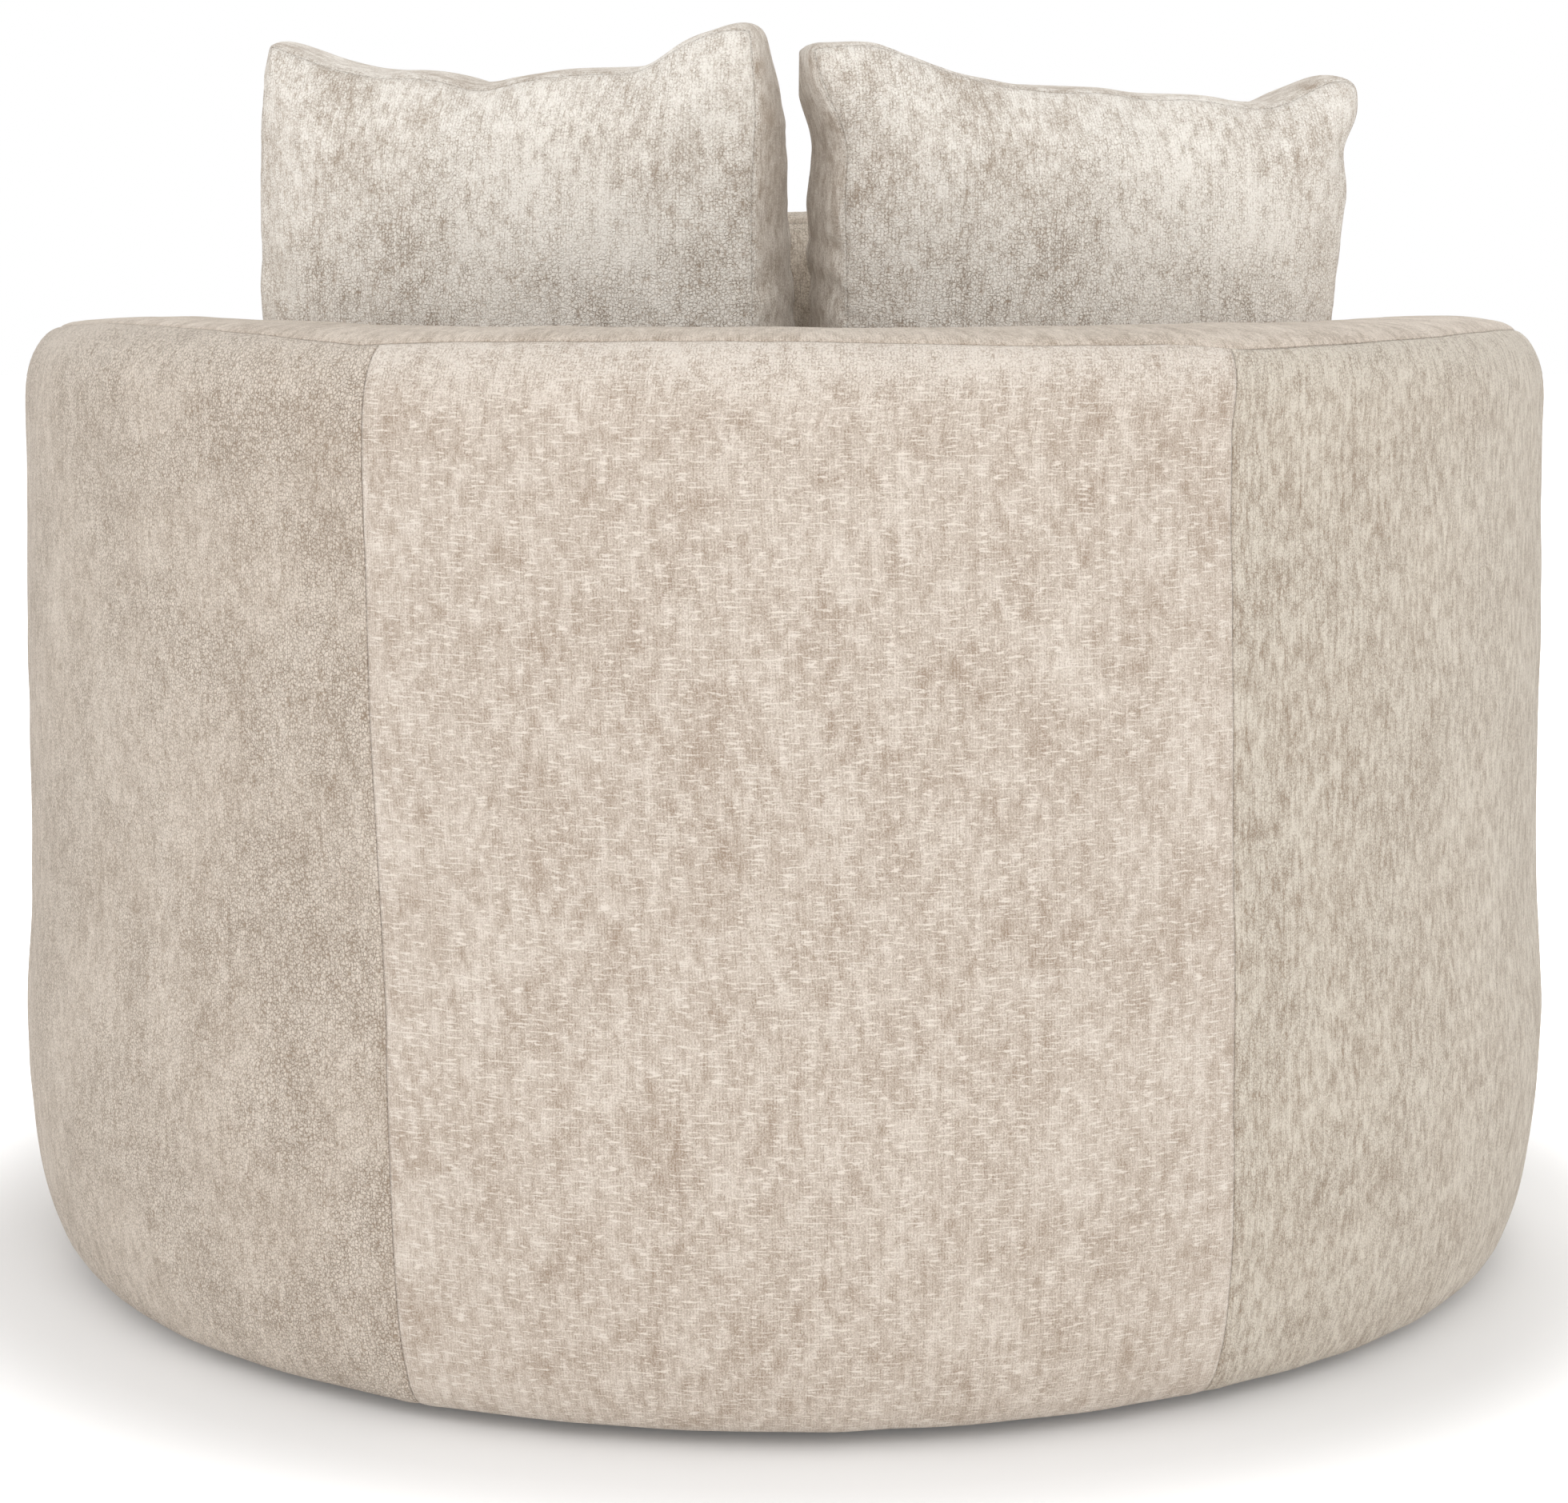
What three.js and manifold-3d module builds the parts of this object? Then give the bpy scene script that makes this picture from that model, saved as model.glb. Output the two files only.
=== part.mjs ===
// A round swivel cuddle chair: a tub of upholstered wall on a swivel base, with a loose seat
// cushion, two loose boxed back pillows and one lumbar pillow. Millimetres, +Z up, the front
// faces -Y, and the origin is on the floor on the swivel axis. Angles around the tub are
// measured from the back (+Y), and grow towards +X.
import * as THREE from 'three';
import { mergeVertices } from 'three/addons/utils/BufferGeometryUtils.js';
import Module from 'manifold-3d';

const wasm = await Module();
wasm.setup();

// Fits
const gap = 0.3;
const looseFit = 1;
const rimFoamFit = 1.5;
const fillFit = 3;
const seatFillFit = 5;
const cushionFit = 6;
const overrun = 20;

// Tub wall
const bodyRadius = 629;
const rimHeight = 766;
const hemHeight = 12;
const bodyHeightShares = [
  0, 0.0157, 0.039, 0.078, 0.1305, 0.209, 0.287, 0.392, 0.496, 0.653, 0.809, 0.914,
];
const bodyRadiusShares = [
  0.944, 0.9467, 0.9666, 0.9825, 0.992, 0.9992, 1, 0.9889, 0.9841, 0.9841, 0.9777, 0.9762,
];
const wallThickness = 131;
const shoulderWidth = 84;
const shoulderHeight = 83;
const shoulderPowerShare = 2 / 3.4;
const seamAngle = THREE.MathUtils.degToRad(28.6);
const armEnd = THREE.MathUtils.degToRad(132);
const dropStart = THREE.MathUtils.degToRad(55);
const armDropHeight = 90;
const armDropPowerShare = 2.2;
const armRound = 70;
const outerArmInset = 50;
const innerArmInset = 34;
const armTopInset = 40;
const armFadeRise = 60;

// Layers of the wall
const coverThickness = 3;
const paddingThickness = 16;
const linerThickness = 3;
const postDepth = 42;
const postWidth = 30;
const railThickness = 22;
const frontRailDepth = 36;
const frontRailHeight = 88;

// Seat platform
const deckHeight = 304;
const deckCoverThickness = 3;
const deckPadThickness = 12;
const springWire = 4;
const springPitch = 80;
const springSwing = 25;
const springStripThickness = 2;
const springStripWidth = 22;
const springStripAngle = THREE.MathUtils.degToRad(38);
const springSpacing = 150;
const springCount = 4;
const seatRingThickness = 22;
const seatRingWidth = 118;

// Bottom frame
const bottomRingThickness = 22;
const bottomRingInset = 10;
const bottomRingWidth = 118;
const crossRailWidth = 90;
const crossRailThickness = 22;
const crossRailBore = 60;
const dustCoverThickness = 1.5;
const dustCoverMargin = 8;

// Swivel
const glideHeight = 6;
const glideRadius = 20;
const glideInset = 40;
const baseBoardRadius = 0.525 * bodyRadius;
const baseBoardThickness = 18;
const baseBoardBore = 50;
const plateSide = 200;
const plateThickness = 3;
const boltSpacing = 160;
const boltDiameter = 8;
const boltHeadDiameter = 16;
const boltHeadHeight = 5;
const studLength = 12;
const ballDiameter = 8;
const ballCircle = 130;
const ballCount = 8;
const cageWidth = 30;
const cageThickness = 3;
const pinDiameter = 16;
const pinFlangeDiameter = 44;
const pinFlangeThickness = 4;
const nutDiameter = 30;
const nutHeight = 10;

// Seat cushion
const seatThickness = 160;
const seatCrown = 16;
const seatEdge = 16;
const seatEdgeRound = 6;
const seatGussetDraw = 4;
const seatNeckInset = 100;
const seatFrontRadius = 608;
const zipWidth = 7;
const seatZipLength = 320;

// Back pillows
const pillowWidthShare = 0.82;
const pillowHeight = 500;
const pillowGusset = 88;
const pillowCrown = 38;
const pillowSideDraw = 10;
const pillowTopDraw = 30;
const pillowBottomDraw = 12;
const pillowCorner = 14;
const pillowZipLength = 240;
const pillowSpacing = 13;
const pillowLean = THREE.MathUtils.degToRad(12);
const pillowToe = THREE.MathUtils.degToRad(14);
const pillowRoll = THREE.MathUtils.degToRad(2);
const pillowFit = 2.7;
const pillowCentreHeight = 716;

// Lumbar pillow
const lumbarWidthShare = 1.16;
const lumbarHeight = 400;
const lumbarGusset = 24;
const lumbarCrown = 48;
const lumbarSideDraw = 12;
const lumbarTopDraw = 6;
const lumbarBottomDraw = 10;
const lumbarCorner = 12;
const lumbarLean = THREE.MathUtils.degToRad(22);
const lumbarForward = 176;
const lumbarCentreHeight = 664.5;

// Steps around the tub
const backSteps = 3;
const sideSteps = 9;
const frontSteps = 10;
const roundSteps = 48;
const armRoundShares = [0.5, 0.8];
const lowerLevelShares = [0, 0.06, 0.16, 0.38, 0.66, 1];
const upperLevelShares = [0, 0.55, 1];
const lowerShoulderShares = [0.1, 0.3, 0.5];
const upperShoulderShares = [0.74, 0.87, 1];
const rimSeamShare = 0.62;
const innerUpperShares = [0.85];
const innerLowerShares = [0.36, 0.1];
const facingCrownShare = 0.94;

// Derived radii
const topRadius = bodyRadius * bodyRadiusShares.at(-1);
const wellRadius = topRadius - wallThickness;
const crownRadius = topRadius - shoulderWidth;
const layerDepth = coverThickness + gap;
const linerOuterRadius = topRadius - layerDepth - paddingThickness - gap;
const linerInnerRadius = linerOuterRadius - linerThickness;
const sideEnd = armEnd - armRound / topRadius;
const sideStep = (sideEnd - seamAngle) / sideSteps;
const frameOuterRadius = linerInnerRadius * Math.cos(sideStep / 2) - gap;
const postOuterRadius = frameOuterRadius - (postWidth / 2) * Math.tan(sideStep / 4);
const postInnerRadius = postOuterRadius - postDepth;
const foamOuterRadius = postInnerRadius - looseFit;
const bottomRingOuter = linerOuterRadius - bottomRingInset;
const sideSeamGap = gap / topRadius / 2;

// Pillow sizes, and their places in the well: the outer back corners lie against its wall.
const pillow = {
  width: pillowWidthShare * wellRadius,
  height: pillowHeight,
  gusset: pillowGusset,
  crown: pillowCrown,
  sideDraw: pillowSideDraw,
  topDraw: pillowTopDraw,
  bottomDraw: pillowBottomDraw,
  corner: pillowCorner,
};
const lumbar = {
  width: lumbarWidthShare * wellRadius,
  height: lumbarHeight,
  gusset: lumbarGusset,
  crown: lumbarCrown,
  sideDraw: lumbarSideDraw,
  topDraw: lumbarTopDraw,
  bottomDraw: lumbarBottomDraw,
  corner: lumbarCorner,
};
const pillowReach = pillow.width * Math.cos(pillowToe) + pillow.gusset * Math.sin(pillowToe);
const pillowDepth = pillow.gusset * Math.cos(pillowToe) - pillow.width * Math.sin(pillowToe);
const pillowAcross = (pillowSpacing + pillowReach) / 2;
const pillowCornerBack = Math.sqrt((wellRadius - pillowFit) ** 2 - (pillowSpacing / 2 + pillowReach) ** 2);
const pillowBack = pillowCornerBack - pillowDepth / 2;
const lumbarBack = pillowBack - lumbarForward;

// Derived heights
const baseBoardBottom = glideHeight + gap;
const baseBoardTop = baseBoardBottom + baseBoardThickness;
const lowerPlateBottom = baseBoardTop + gap;
const lowerPlateTop = lowerPlateBottom + plateThickness;
const ballCentre = lowerPlateTop + gap + ballDiameter / 2;
const upperPlateBottom = ballCentre + ballDiameter / 2 + gap;
const upperPlateTop = upperPlateBottom + plateThickness;
const crossRailBottom = upperPlateTop + gap;
const crossRailTop = crossRailBottom + crossRailThickness;
const bottomRingTop = crossRailBottom - gap;
const bottomRingBottom = bottomRingTop - bottomRingThickness;
const deckCoverBottom = deckHeight - deckCoverThickness;
const deckPadTop = deckCoverBottom - gap;
const deckPadBottom = deckPadTop - deckPadThickness;
const springHeight = deckPadBottom - gap - springWire / 2;
const springStripTop = springHeight - springWire / 2 - gap;
const springStripBottom = springStripTop - springStripThickness;
const seatRingTop = springStripBottom - gap;
const seatRingBottom = seatRingTop - seatRingThickness;
const innerBottom = seatRingTop + gap;
const frontRailTop = deckPadBottom - gap;
const seatBottom = deckHeight + gap;

// Finishes
const chenille = { color: 0xd0c4b6, roughness: 0.95 };
const foam = { color: 0xe8dfae, roughness: 0.9 };
const fibre = { color: 0xeeeeea, roughness: 1 };
const timber = { color: 0xc79a66, roughness: 0.7 };
const plywood = { color: 0xd2ab78, roughness: 0.7 };
const board = { color: 0x9a7b52, roughness: 0.9 };
const cloth = { color: 0x2d2b2a, roughness: 0.95 };
const steel = { color: 0x9a9da0, roughness: 0.4, metalness: 1 };
const blackPlastic = { color: 0x1d1d1e, roughness: 0.6 };
const nylon = { color: 0xe9e6dc, roughness: 0.5 };

// Geometry helpers
function tidy(geometry) {
  geometry.deleteAttribute('normal');
  geometry.deleteAttribute('uv');
  const merged = mergeVertices(geometry);
  const corners = merged.index.array;
  const places = merged.attributes.position;
  const kept = [];
  let volume = 0;
  const [a, b, c] = [new THREE.Vector3(), new THREE.Vector3(), new THREE.Vector3()];
  for (let i = 0; i < corners.length; i += 3) {
    const [p, q, r] = corners.slice(i, i + 3);
    if (p === q || q === r || r === p) continue;
    kept.push(p, q, r);
    a.fromBufferAttribute(places, p);
    b.fromBufferAttribute(places, q);
    c.fromBufferAttribute(places, r);
    volume += a.dot(b.cross(c));
  }
  merged.setIndex(volume < 0 ? kept.reverse() : kept);
  return merged;
}

function toSolid(geometry) {
  const whole = geometry.index && !geometry.attributes.normal ? geometry : tidy(geometry);
  return new wasm.Manifold(new wasm.Mesh({
    numProp: 3,
    vertProperties: new Float32Array(whole.attributes.position.array),
    triVerts: new Uint32Array(whole.index.array),
  }));
}

function toGeometry(solid) {
  const mesh = solid.getMesh();
  const geometry = new THREE.BufferGeometry();
  geometry.setAttribute('position', new THREE.BufferAttribute(mesh.vertProperties, 3));
  geometry.setIndex(new THREE.BufferAttribute(mesh.triVerts, 1));
  return geometry;
}

// Rings of equal count joined side by side. A ring's points go out along one side and come
// back along the other, so its two ends are closed by rungs between the sides. Faces that lie
// against each other are split along the same diagonal, whichever way their rings run.
function loft(rings) {
  const count = rings[0].length;
  const places = rings.flat().flatMap((point) => point.toArray());
  const faces = [];
  const quad = (a, b, c, d) => faces.push(a, b, c, a, c, d);
  for (let ring = 0; ring < rings.length - 1; ring += 1) {
    const here = ring * count;
    const next = here + count;
    for (let k = 0; k < count; k += 1) {
      const l = (k + 1) % count;
      const rises = rings[ring][k].z <= rings[ring][l].z;
      const goesForward = rings[ring][k].y >= rings[ring + 1][k].y;
      if (rises === goesForward) quad(here + k, here + l, next + l, next + k);
      else quad(here + l, next + l, next + k, here + k);
    }
  }
  const last = (rings.length - 1) * count;
  for (let k = 0; k < count / 2 - 1; k += 1) {
    quad(k + 1, k, count - 1 - k, count - 2 - k);
    quad(last + k, last + k + 1, last + count - 2 - k, last + count - 1 - k);
  }
  const geometry = new THREE.BufferGeometry();
  geometry.setAttribute('position', new THREE.Float32BufferAttribute(places, 3));
  geometry.setIndex(faces);
  return tidy(geometry);
}

function polar(radius, angle, height) {
  return new THREE.Vector3(radius * Math.sin(angle), radius * Math.cos(angle), height);
}

// A section of [radius, height] points for each angle, swept around the axis.
function sweep(angles, section) {
  return loft(angles.map(
    (angle) => section(angle).map(([radius, height]) => polar(radius, angle, height)),
  ));
}

function strip(outer, inner) {
  return [...outer, ...inner.reverse()];
}

function rectangle(innerRadius, outerRadius, bottom, top) {
  return [[innerRadius, bottom], [outerRadius, bottom], [outerRadius, top], [innerRadius, top]];
}

function turned(profile, steps = roundSteps) {
  const points = [...profile, profile[0]].map(([radius, height]) => new THREE.Vector2(radius, height));
  return tidy(new THREE.LatheGeometry(points, steps).rotateX(Math.PI / 2));
}

function ringBoard(innerRadius, outerRadius, bottom, top) {
  return turned(rectangle(innerRadius, outerRadius, bottom, top));
}

function rod(diameter, bottom, top, steps = roundSteps / 4) {
  const middle = (bottom + top) / 2;
  const geometry = new THREE.CylinderGeometry(diameter / 2, diameter / 2, top - bottom, steps);
  return tidy(geometry.rotateX(Math.PI / 2).translate(0, 0, middle));
}

function block(width, depth, bottom, top) {
  return tidy(new THREE.BoxGeometry(width, depth, top - bottom).translate(0, 0, (bottom + top) / 2));
}

function spread(start, end, steps) {
  return Array.from({ length: steps + 1 }, (_, step) => start + ((end - start) * step) / steps);
}

// Angles around the wall, from arm front to arm front
const endLayer = armEnd - (coverThickness + gap) / topRadius;
const halfAngles = [
  ...spread(0, seamAngle, backSteps),
  ...spread(seamAngle, sideEnd, sideSteps).slice(1),
  ...armRoundShares.map((share) => sideEnd + (share * armRound) / topRadius),
  endLayer,
  armEnd,
];
const wallAngles = [...halfAngles.slice(1).reverse().map((angle) => -angle), ...halfAngles];
const layerAngles = wallAngles.slice(1, -1);

function anglesBetween(start, end, source = wallAngles) {
  const least = sideStep / 100;
  return [start, ...source.filter((angle) => angle > start + least && angle < end - least), end];
}

// The shape of the wall
function radiusAt(height) {
  const share = height / rimHeight;
  let upper = bodyHeightShares.findIndex((value) => value >= share);
  if (upper < 0) return topRadius;
  upper = Math.max(upper, 1);
  const [low, high] = [bodyHeightShares[upper - 1], bodyHeightShares[upper]];
  return bodyRadius * THREE.MathUtils.mapLinear(
    share, low, high, bodyRadiusShares[upper - 1], bodyRadiusShares[upper],
  );
}

function rimHeightAt(angle) {
  const share = Math.max(0, (Math.abs(angle) - dropStart) / (armEnd - dropStart));
  return rimHeight - armDropHeight * share ** armDropPowerShare;
}

function armRoundAt(angle) {
  const ahead = (armEnd - Math.abs(angle)) * topRadius;
  const share = THREE.MathUtils.clamp(1 - ahead / armRound, 0, 1);
  return 1 - Math.sqrt(1 - share * share);
}

function armFadeAt(height) {
  return THREE.MathUtils.smoothstep(height, deckHeight, deckHeight + armFadeRise);
}

// The wall at one angle, at a depth under its skin: its two faces, and its rounded top from
// share 0 at either shoulder to share 1 at the crown.
function wallAt(angle, depth) {
  const round = armRoundAt(angle);
  const shoulder = rimHeightAt(angle) - shoulderHeight;
  const outer = (height) => radiusAt(height) - depth - outerArmInset * round * armFadeAt(height);
  const inner = (height) => wellRadius + depth + innerArmInset * round * armFadeAt(height);
  const rise = shoulderHeight - depth - armTopInset * round;
  const onTop = (side, share) => {
    const turn = (share * Math.PI) / 2;
    const reach = (side(shoulder) - crownRadius) * Math.max(0, Math.cos(turn)) ** shoulderPowerShare;
    return [crownRadius + reach, shoulder + rise * Math.sin(turn) ** shoulderPowerShare];
  };
  return {
    shoulder,
    outer,
    inner,
    outerTop: (share) => onTop(outer, share),
    innerTop: (share) => onTop(inner, share),
  };
}

function railTopAt(angle) {
  return wallAt(angle, layerDepth).outerTop(lowerShoulderShares[0])[1];
}

// Heights of the wall's points: up to the deck, and from the deck to the shoulder.
const lowerLevels = lowerLevelShares.map((share) => THREE.MathUtils.lerp(hemHeight, deckHeight, share));

function upperLevels(angle) {
  const low = deckHeight + armFadeRise;
  return upperLevelShares.map((share) => THREE.MathUtils.lerp(low, wallAt(angle, 0).shoulder, share));
}

function outerLevels(angle) {
  return [...lowerLevels, ...upperLevels(angle)];
}

function innerLevels(angle) {
  return [...upperLevels(angle).reverse(), deckHeight, innerBottom];
}

// Covers
const rimSeamGapShare = gap / shoulderWidth;

function outerCoverSection(angle) {
  const face = (depth) => {
    const wall = wallAt(angle, depth);
    return [
      ...outerLevels(angle).map((height) => [wall.outer(height), height]),
      ...[...lowerShoulderShares, rimSeamShare].map(wall.outerTop),
    ];
  };
  return strip(face(0), face(coverThickness));
}

function rimBandSection(angle) {
  const face = (depth) => {
    const wall = wallAt(angle, depth);
    return [
      ...[rimSeamShare + rimSeamGapShare, ...upperShoulderShares].map(wall.outerTop),
      ...[...innerUpperShares, rimSeamShare + rimSeamGapShare].map(wall.innerTop),
    ];
  };
  return strip(face(0), face(coverThickness));
}

function innerCoverSection(angle) {
  const face = (depth) => {
    const wall = wallAt(angle, depth);
    return [
      ...[rimSeamShare, ...innerLowerShares].map(wall.innerTop),
      ...innerLevels(angle).map((height) => [wall.inner(height), height]),
    ];
  };
  return strip(face(0), face(coverThickness));
}

// The facing on the front of one arm, above the deck.
function armFacing(side) {
  const wall = wallAt(armEnd, layerDepth + gap);
  const levels = [deckHeight + gap, ...upperLevels(armEnd)];
  const topShares = [
    ...lowerShoulderShares, rimSeamShare, ...upperShoulderShares.slice(0, -1), facingCrownShare,
  ];
  const face = (straight, top) => [
    ...levels.map((height) => [straight(height), height]),
    ...topShares.map(top),
  ];
  const section = strip(face(wall.outer, wall.outerTop), face(wall.inner, wall.innerTop));
  const back = side * (armEnd - coverThickness / topRadius);
  return sweep([back, side * armEnd], () => section);
}

// Front border, from arm to arm below the seat cushion
const frontAngles = spread(armEnd + gap / topRadius, 2 * Math.PI - armEnd - gap / topRadius, frontSteps);

function frontBorderSection() {
  const levels = [...lowerLevels.slice(0, -1), frontRailTop, deckHeight];
  const face = (depth) => levels.map((height) => [radiusAt(height) - depth, height]);
  return strip(face(0), face(coverThickness));
}

function frontFoamSection() {
  const levels = [...lowerLevels.slice(1, -1), frontRailTop];
  const face = levels.map((height) => [radiusAt(height) - layerDepth, height]);
  return strip(face, levels.map((height) => [frameOuterRadius + gap, height]));
}

// Padding and foam
function paddingSection(angle) {
  const wall = wallAt(angle, layerDepth);
  const face = [
    ...outerLevels(angle).slice(1).map((height) => [wall.outer(height), height]),
    wall.outerTop(lowerShoulderShares[0]),
  ];
  const behind = face.map(([, height]) => {
    const inset = outerArmInset * armRoundAt(angle) * armFadeAt(height);
    return [Math.max(linerOuterRadius + gap - inset, foamOuterRadius + gap), height];
  });
  return strip(face, behind);
}

function innerFoamSection(angle) {
  const wall = wallAt(angle, layerDepth);
  const face = [
    wall.innerTop(innerLowerShares.at(-1)),
    ...innerLevels(angle).map((height) => [wall.inner(height), height]),
  ];
  return strip(face, face.map(([, height]) => [foamOuterRadius, height]));
}

function rimFoamSection(angle) {
  const wall = wallAt(angle, layerDepth);
  const section = [
    ...[...lowerShoulderShares, rimSeamShare, ...upperShoulderShares].map(wall.outerTop),
    ...[...innerUpperShares, rimSeamShare, ...innerLowerShares].map(wall.innerTop),
  ];
  section[0][1] += rimFoamFit;
  section.at(-1)[1] += rimFoamFit;
  return section;
}

// Frame of the wall
const postAngles = {
  post_back: 0,
  post_back_left: seamAngle + 3 * sideStep,
  post_back_right: -(seamAngle + 3 * sideStep),
  post_arm_left: sideEnd - postWidth / postInnerRadius,
  post_arm_right: -(sideEnd - postWidth / postInnerRadius),
};
const railAngles = anglesBetween(-sideEnd, sideEnd);
const railBottomAt = (angle) => railTopAt(angle) - railThickness;

function post(angle) {
  const halfTurn = postWidth / 2 / postInnerRadius;
  const top = Math.min(railBottomAt(angle - halfTurn), railBottomAt(angle + halfTurn)) - looseFit;
  const geometry = block(postWidth, postDepth, bottomRingTop + gap, top);
  return geometry.translate(0, postOuterRadius - postDepth / 2, 0).rotateZ(-angle);
}

function topRail(start, end) {
  const trim = gap / postInnerRadius / 2;
  return sweep(anglesBetween(start + trim, end - trim, railAngles), (angle) => rectangle(
    postInnerRadius, linerInnerRadius - gap, railBottomAt(angle), railTopAt(angle),
  ));
}

function linerSection(angle) {
  return rectangle(linerInnerRadius, linerOuterRadius, crossRailBottom, railTopAt(angle));
}

function frontRail() {
  const start = postAngles.post_arm_left + (postWidth / 2 + looseFit) / (postOuterRadius - postDepth);
  const next = sideEnd + sideStep / 4;
  const angles = [start, next, ...frontAngles, 2 * Math.PI - next, 2 * Math.PI - start];
  return sweep(angles, () => rectangle(
    frameOuterRadius - frontRailDepth, frameOuterRadius, frontRailTop - frontRailHeight, frontRailTop,
  ));
}

// One of the two crossed bottom rails, bored for the pivot nut and halved into the other.
function crossRail(lapIsAbove) {
  const length = 2 * Math.sqrt((bottomRingOuter - gap) ** 2 - (crossRailWidth / 2) ** 2);
  const halfHeight = (crossRailBottom + crossRailTop) / 2;
  const [below, above] = [crossRailBottom - overrun, crossRailTop + overrun];
  const [lapBottom, lapTop] = lapIsAbove ? [halfHeight - gap / 2, above] : [below, halfHeight + gap / 2];
  const cuts = [
    block(crossRailWidth + 2 * gap, crossRailWidth + overrun, lapBottom, lapTop),
    rod(crossRailBore, below, above, roundSteps / 2),
    ...[-1, 1].map((side) => rod(boltDiameter + 2 * gap, below, above)
      .translate((side * boltSpacing) / Math.SQRT2, 0, 0)),
  ];
  const rail = toSolid(block(length, crossRailWidth, crossRailBottom, crossRailTop));
  return toGeometry(cuts.reduce((left, cut) => left.subtract(toSolid(cut)), rail));
}

// Seat platform
const seatRingOuter = postInnerRadius - gap;
const seatRingInner = seatRingOuter - seatRingWidth;
const springEndRadius = seatRingInner + springStripWidth;

function wellCorner(radius, clearance, side) {
  const along = polar(radius, armEnd, 0);
  const across = polar(clearance, armEnd + Math.PI / 2, 0);
  const point = along.add(across);
  return new THREE.Vector2(side * point.x, point.y);
}

// Plan of what lies in the well: a circle, with a wedge between the arm fronts to the front.
function wellPlan(circleRadius, frontRadius, clearance) {
  const flat = (point) => new THREE.Vector2(point.x, point.y);
  const inWell = wallAngles.filter((angle) => Math.abs(angle) < sideEnd + sideStep / 100);
  const left = [circleRadius, frontRadius].map((radius) => wellCorner(radius, clearance, 1));
  const right = [frontRadius, circleRadius].map((radius) => wellCorner(radius, clearance, -1));
  return [
    ...inWell.map((angle) => flat(polar(circleRadius, angle, 0))),
    ...left,
    ...frontAngles.slice(1, -1).map((angle) => flat(polar(frontRadius, angle, 0))),
    ...right,
  ];
}

function plate(plan, bottom, top) {
  const options = { depth: top - bottom, bevelEnabled: false };
  return tidy(new THREE.ExtrudeGeometry(new THREE.Shape(plan), options).translate(0, 0, bottom));
}

const deckFront = radiusAt(deckHeight) - layerDepth - gap;

function deckLayer(bottom, top) {
  return plate(wellPlan(wellRadius - gap, deckFront, looseFit), bottom, top);
}

// A zigzag spring wire laid front to back at one distance from the middle line.
function sinuousSpring(across) {
  const reach = Math.sqrt(springEndRadius ** 2 - (Math.abs(across) + springSwing) ** 2);
  const waves = Math.round((2 * reach) / springPitch);
  const halfPitch = reach / waves;
  const points = [];
  for (let bend = 0; bend <= 2 * waves; bend += 1) {
    const along = -reach + bend * halfPitch;
    const side = bend % 2 ? -springSwing : springSwing;
    points.push(new THREE.Vector3(across + side, along, springHeight));
    points.push(new THREE.Vector3(across - side, along, springHeight));
  }
  points.pop();
  const rings = points.map((point, index) => {
    const before = points[Math.max(index - 1, 0)];
    const after = points[Math.min(index + 1, points.length - 1)];
    const bendStart = point.clone().sub(before).normalize();
    const bendEnd = after.clone().sub(point).normalize();
    const forward = bendStart.add(bendEnd).normalize();
    const straight = index > 0 && index < points.length - 1 ? Math.SQRT1_2 : 1;
    const sideways = new THREE.Vector3(forward.y, -forward.x, 0).multiplyScalar(springWire / 2 / straight);
    const up = new THREE.Vector3(0, 0, springWire / 2);
    return [sideways, up, sideways.clone().negate(), up.clone().negate()].map((turn) => turn.add(point));
  });
  return loft(rings);
}

// Swivel
function upperSwivelPlate() {
  let solid = toSolid(block(plateSide, plateSide, upperPlateBottom, upperPlateTop));
  const cut = (diameter, x, y) => {
    const bore = rod(diameter, upperPlateBottom - overrun, upperPlateTop + overrun);
    solid = solid.subtract(toSolid(bore.translate(x, y, 0)));
  };
  cut(pinDiameter + 2 * looseFit, 0, 0);
  for (const [x, y] of boltPlaces()) cut(boltDiameter + 2 * gap, x, y);
  return toGeometry(solid);
}

function boltPlaces() {
  const half = boltSpacing / 2;
  return [[half, half], [-half, half], [-half, -half], [half, -half]];
}

// The lower plate with its four studs, which are welded under it and pressed into the board.
function lowerSwivelPlate() {
  let solid = toSolid(block(plateSide, plateSide, lowerPlateBottom, lowerPlateTop));
  for (const [x, y] of boltPlaces()) {
    const stud = rod(boltDiameter, lowerPlateBottom - studLength, lowerPlateTop - plateThickness / 2);
    solid = solid.add(toSolid(stud.translate(x, y, 0)));
  }
  const bore = rod(pinDiameter + 2 * gap, lowerPlateBottom - overrun, lowerPlateTop + overrun);
  return toGeometry(solid.subtract(toSolid(bore)));
}

function baseBoard() {
  let solid = toSolid(rod(2 * baseBoardRadius, baseBoardBottom, baseBoardTop, roundSteps));
  solid = solid.subtract(toSolid(rod(baseBoardBore, baseBoardBottom - overrun, baseBoardTop + overrun)));
  for (const [x, y] of boltPlaces()) {
    const bore = rod(boltDiameter + 2 * gap, lowerPlateBottom - studLength - gap, baseBoardTop + overrun);
    solid = solid.subtract(toSolid(bore.translate(x, y, 0)));
  }
  return toGeometry(solid);
}

function ballCage() {
  const half = cageThickness / 2;
  const innerRadius = (ballCircle - cageWidth) / 2;
  const outerRadius = (ballCircle + cageWidth) / 2;
  let solid = toSolid(turned(
    rectangle(innerRadius, outerRadius, ballCentre - half, ballCentre + half), roundSteps / 2,
  ));
  for (let ball = 0; ball < ballCount; ball += 1) {
    const place = polar(ballCircle / 2, (2 * Math.PI * ball) / ballCount, ballCentre);
    const sphere = new THREE.SphereGeometry(ballDiameter / 2, roundSteps / 6, roundSteps / 8);
    solid = solid.add(toSolid(tidy(sphere.rotateX(Math.PI / 2).translate(...place.toArray()))));
  }
  return toGeometry(solid);
}

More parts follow.
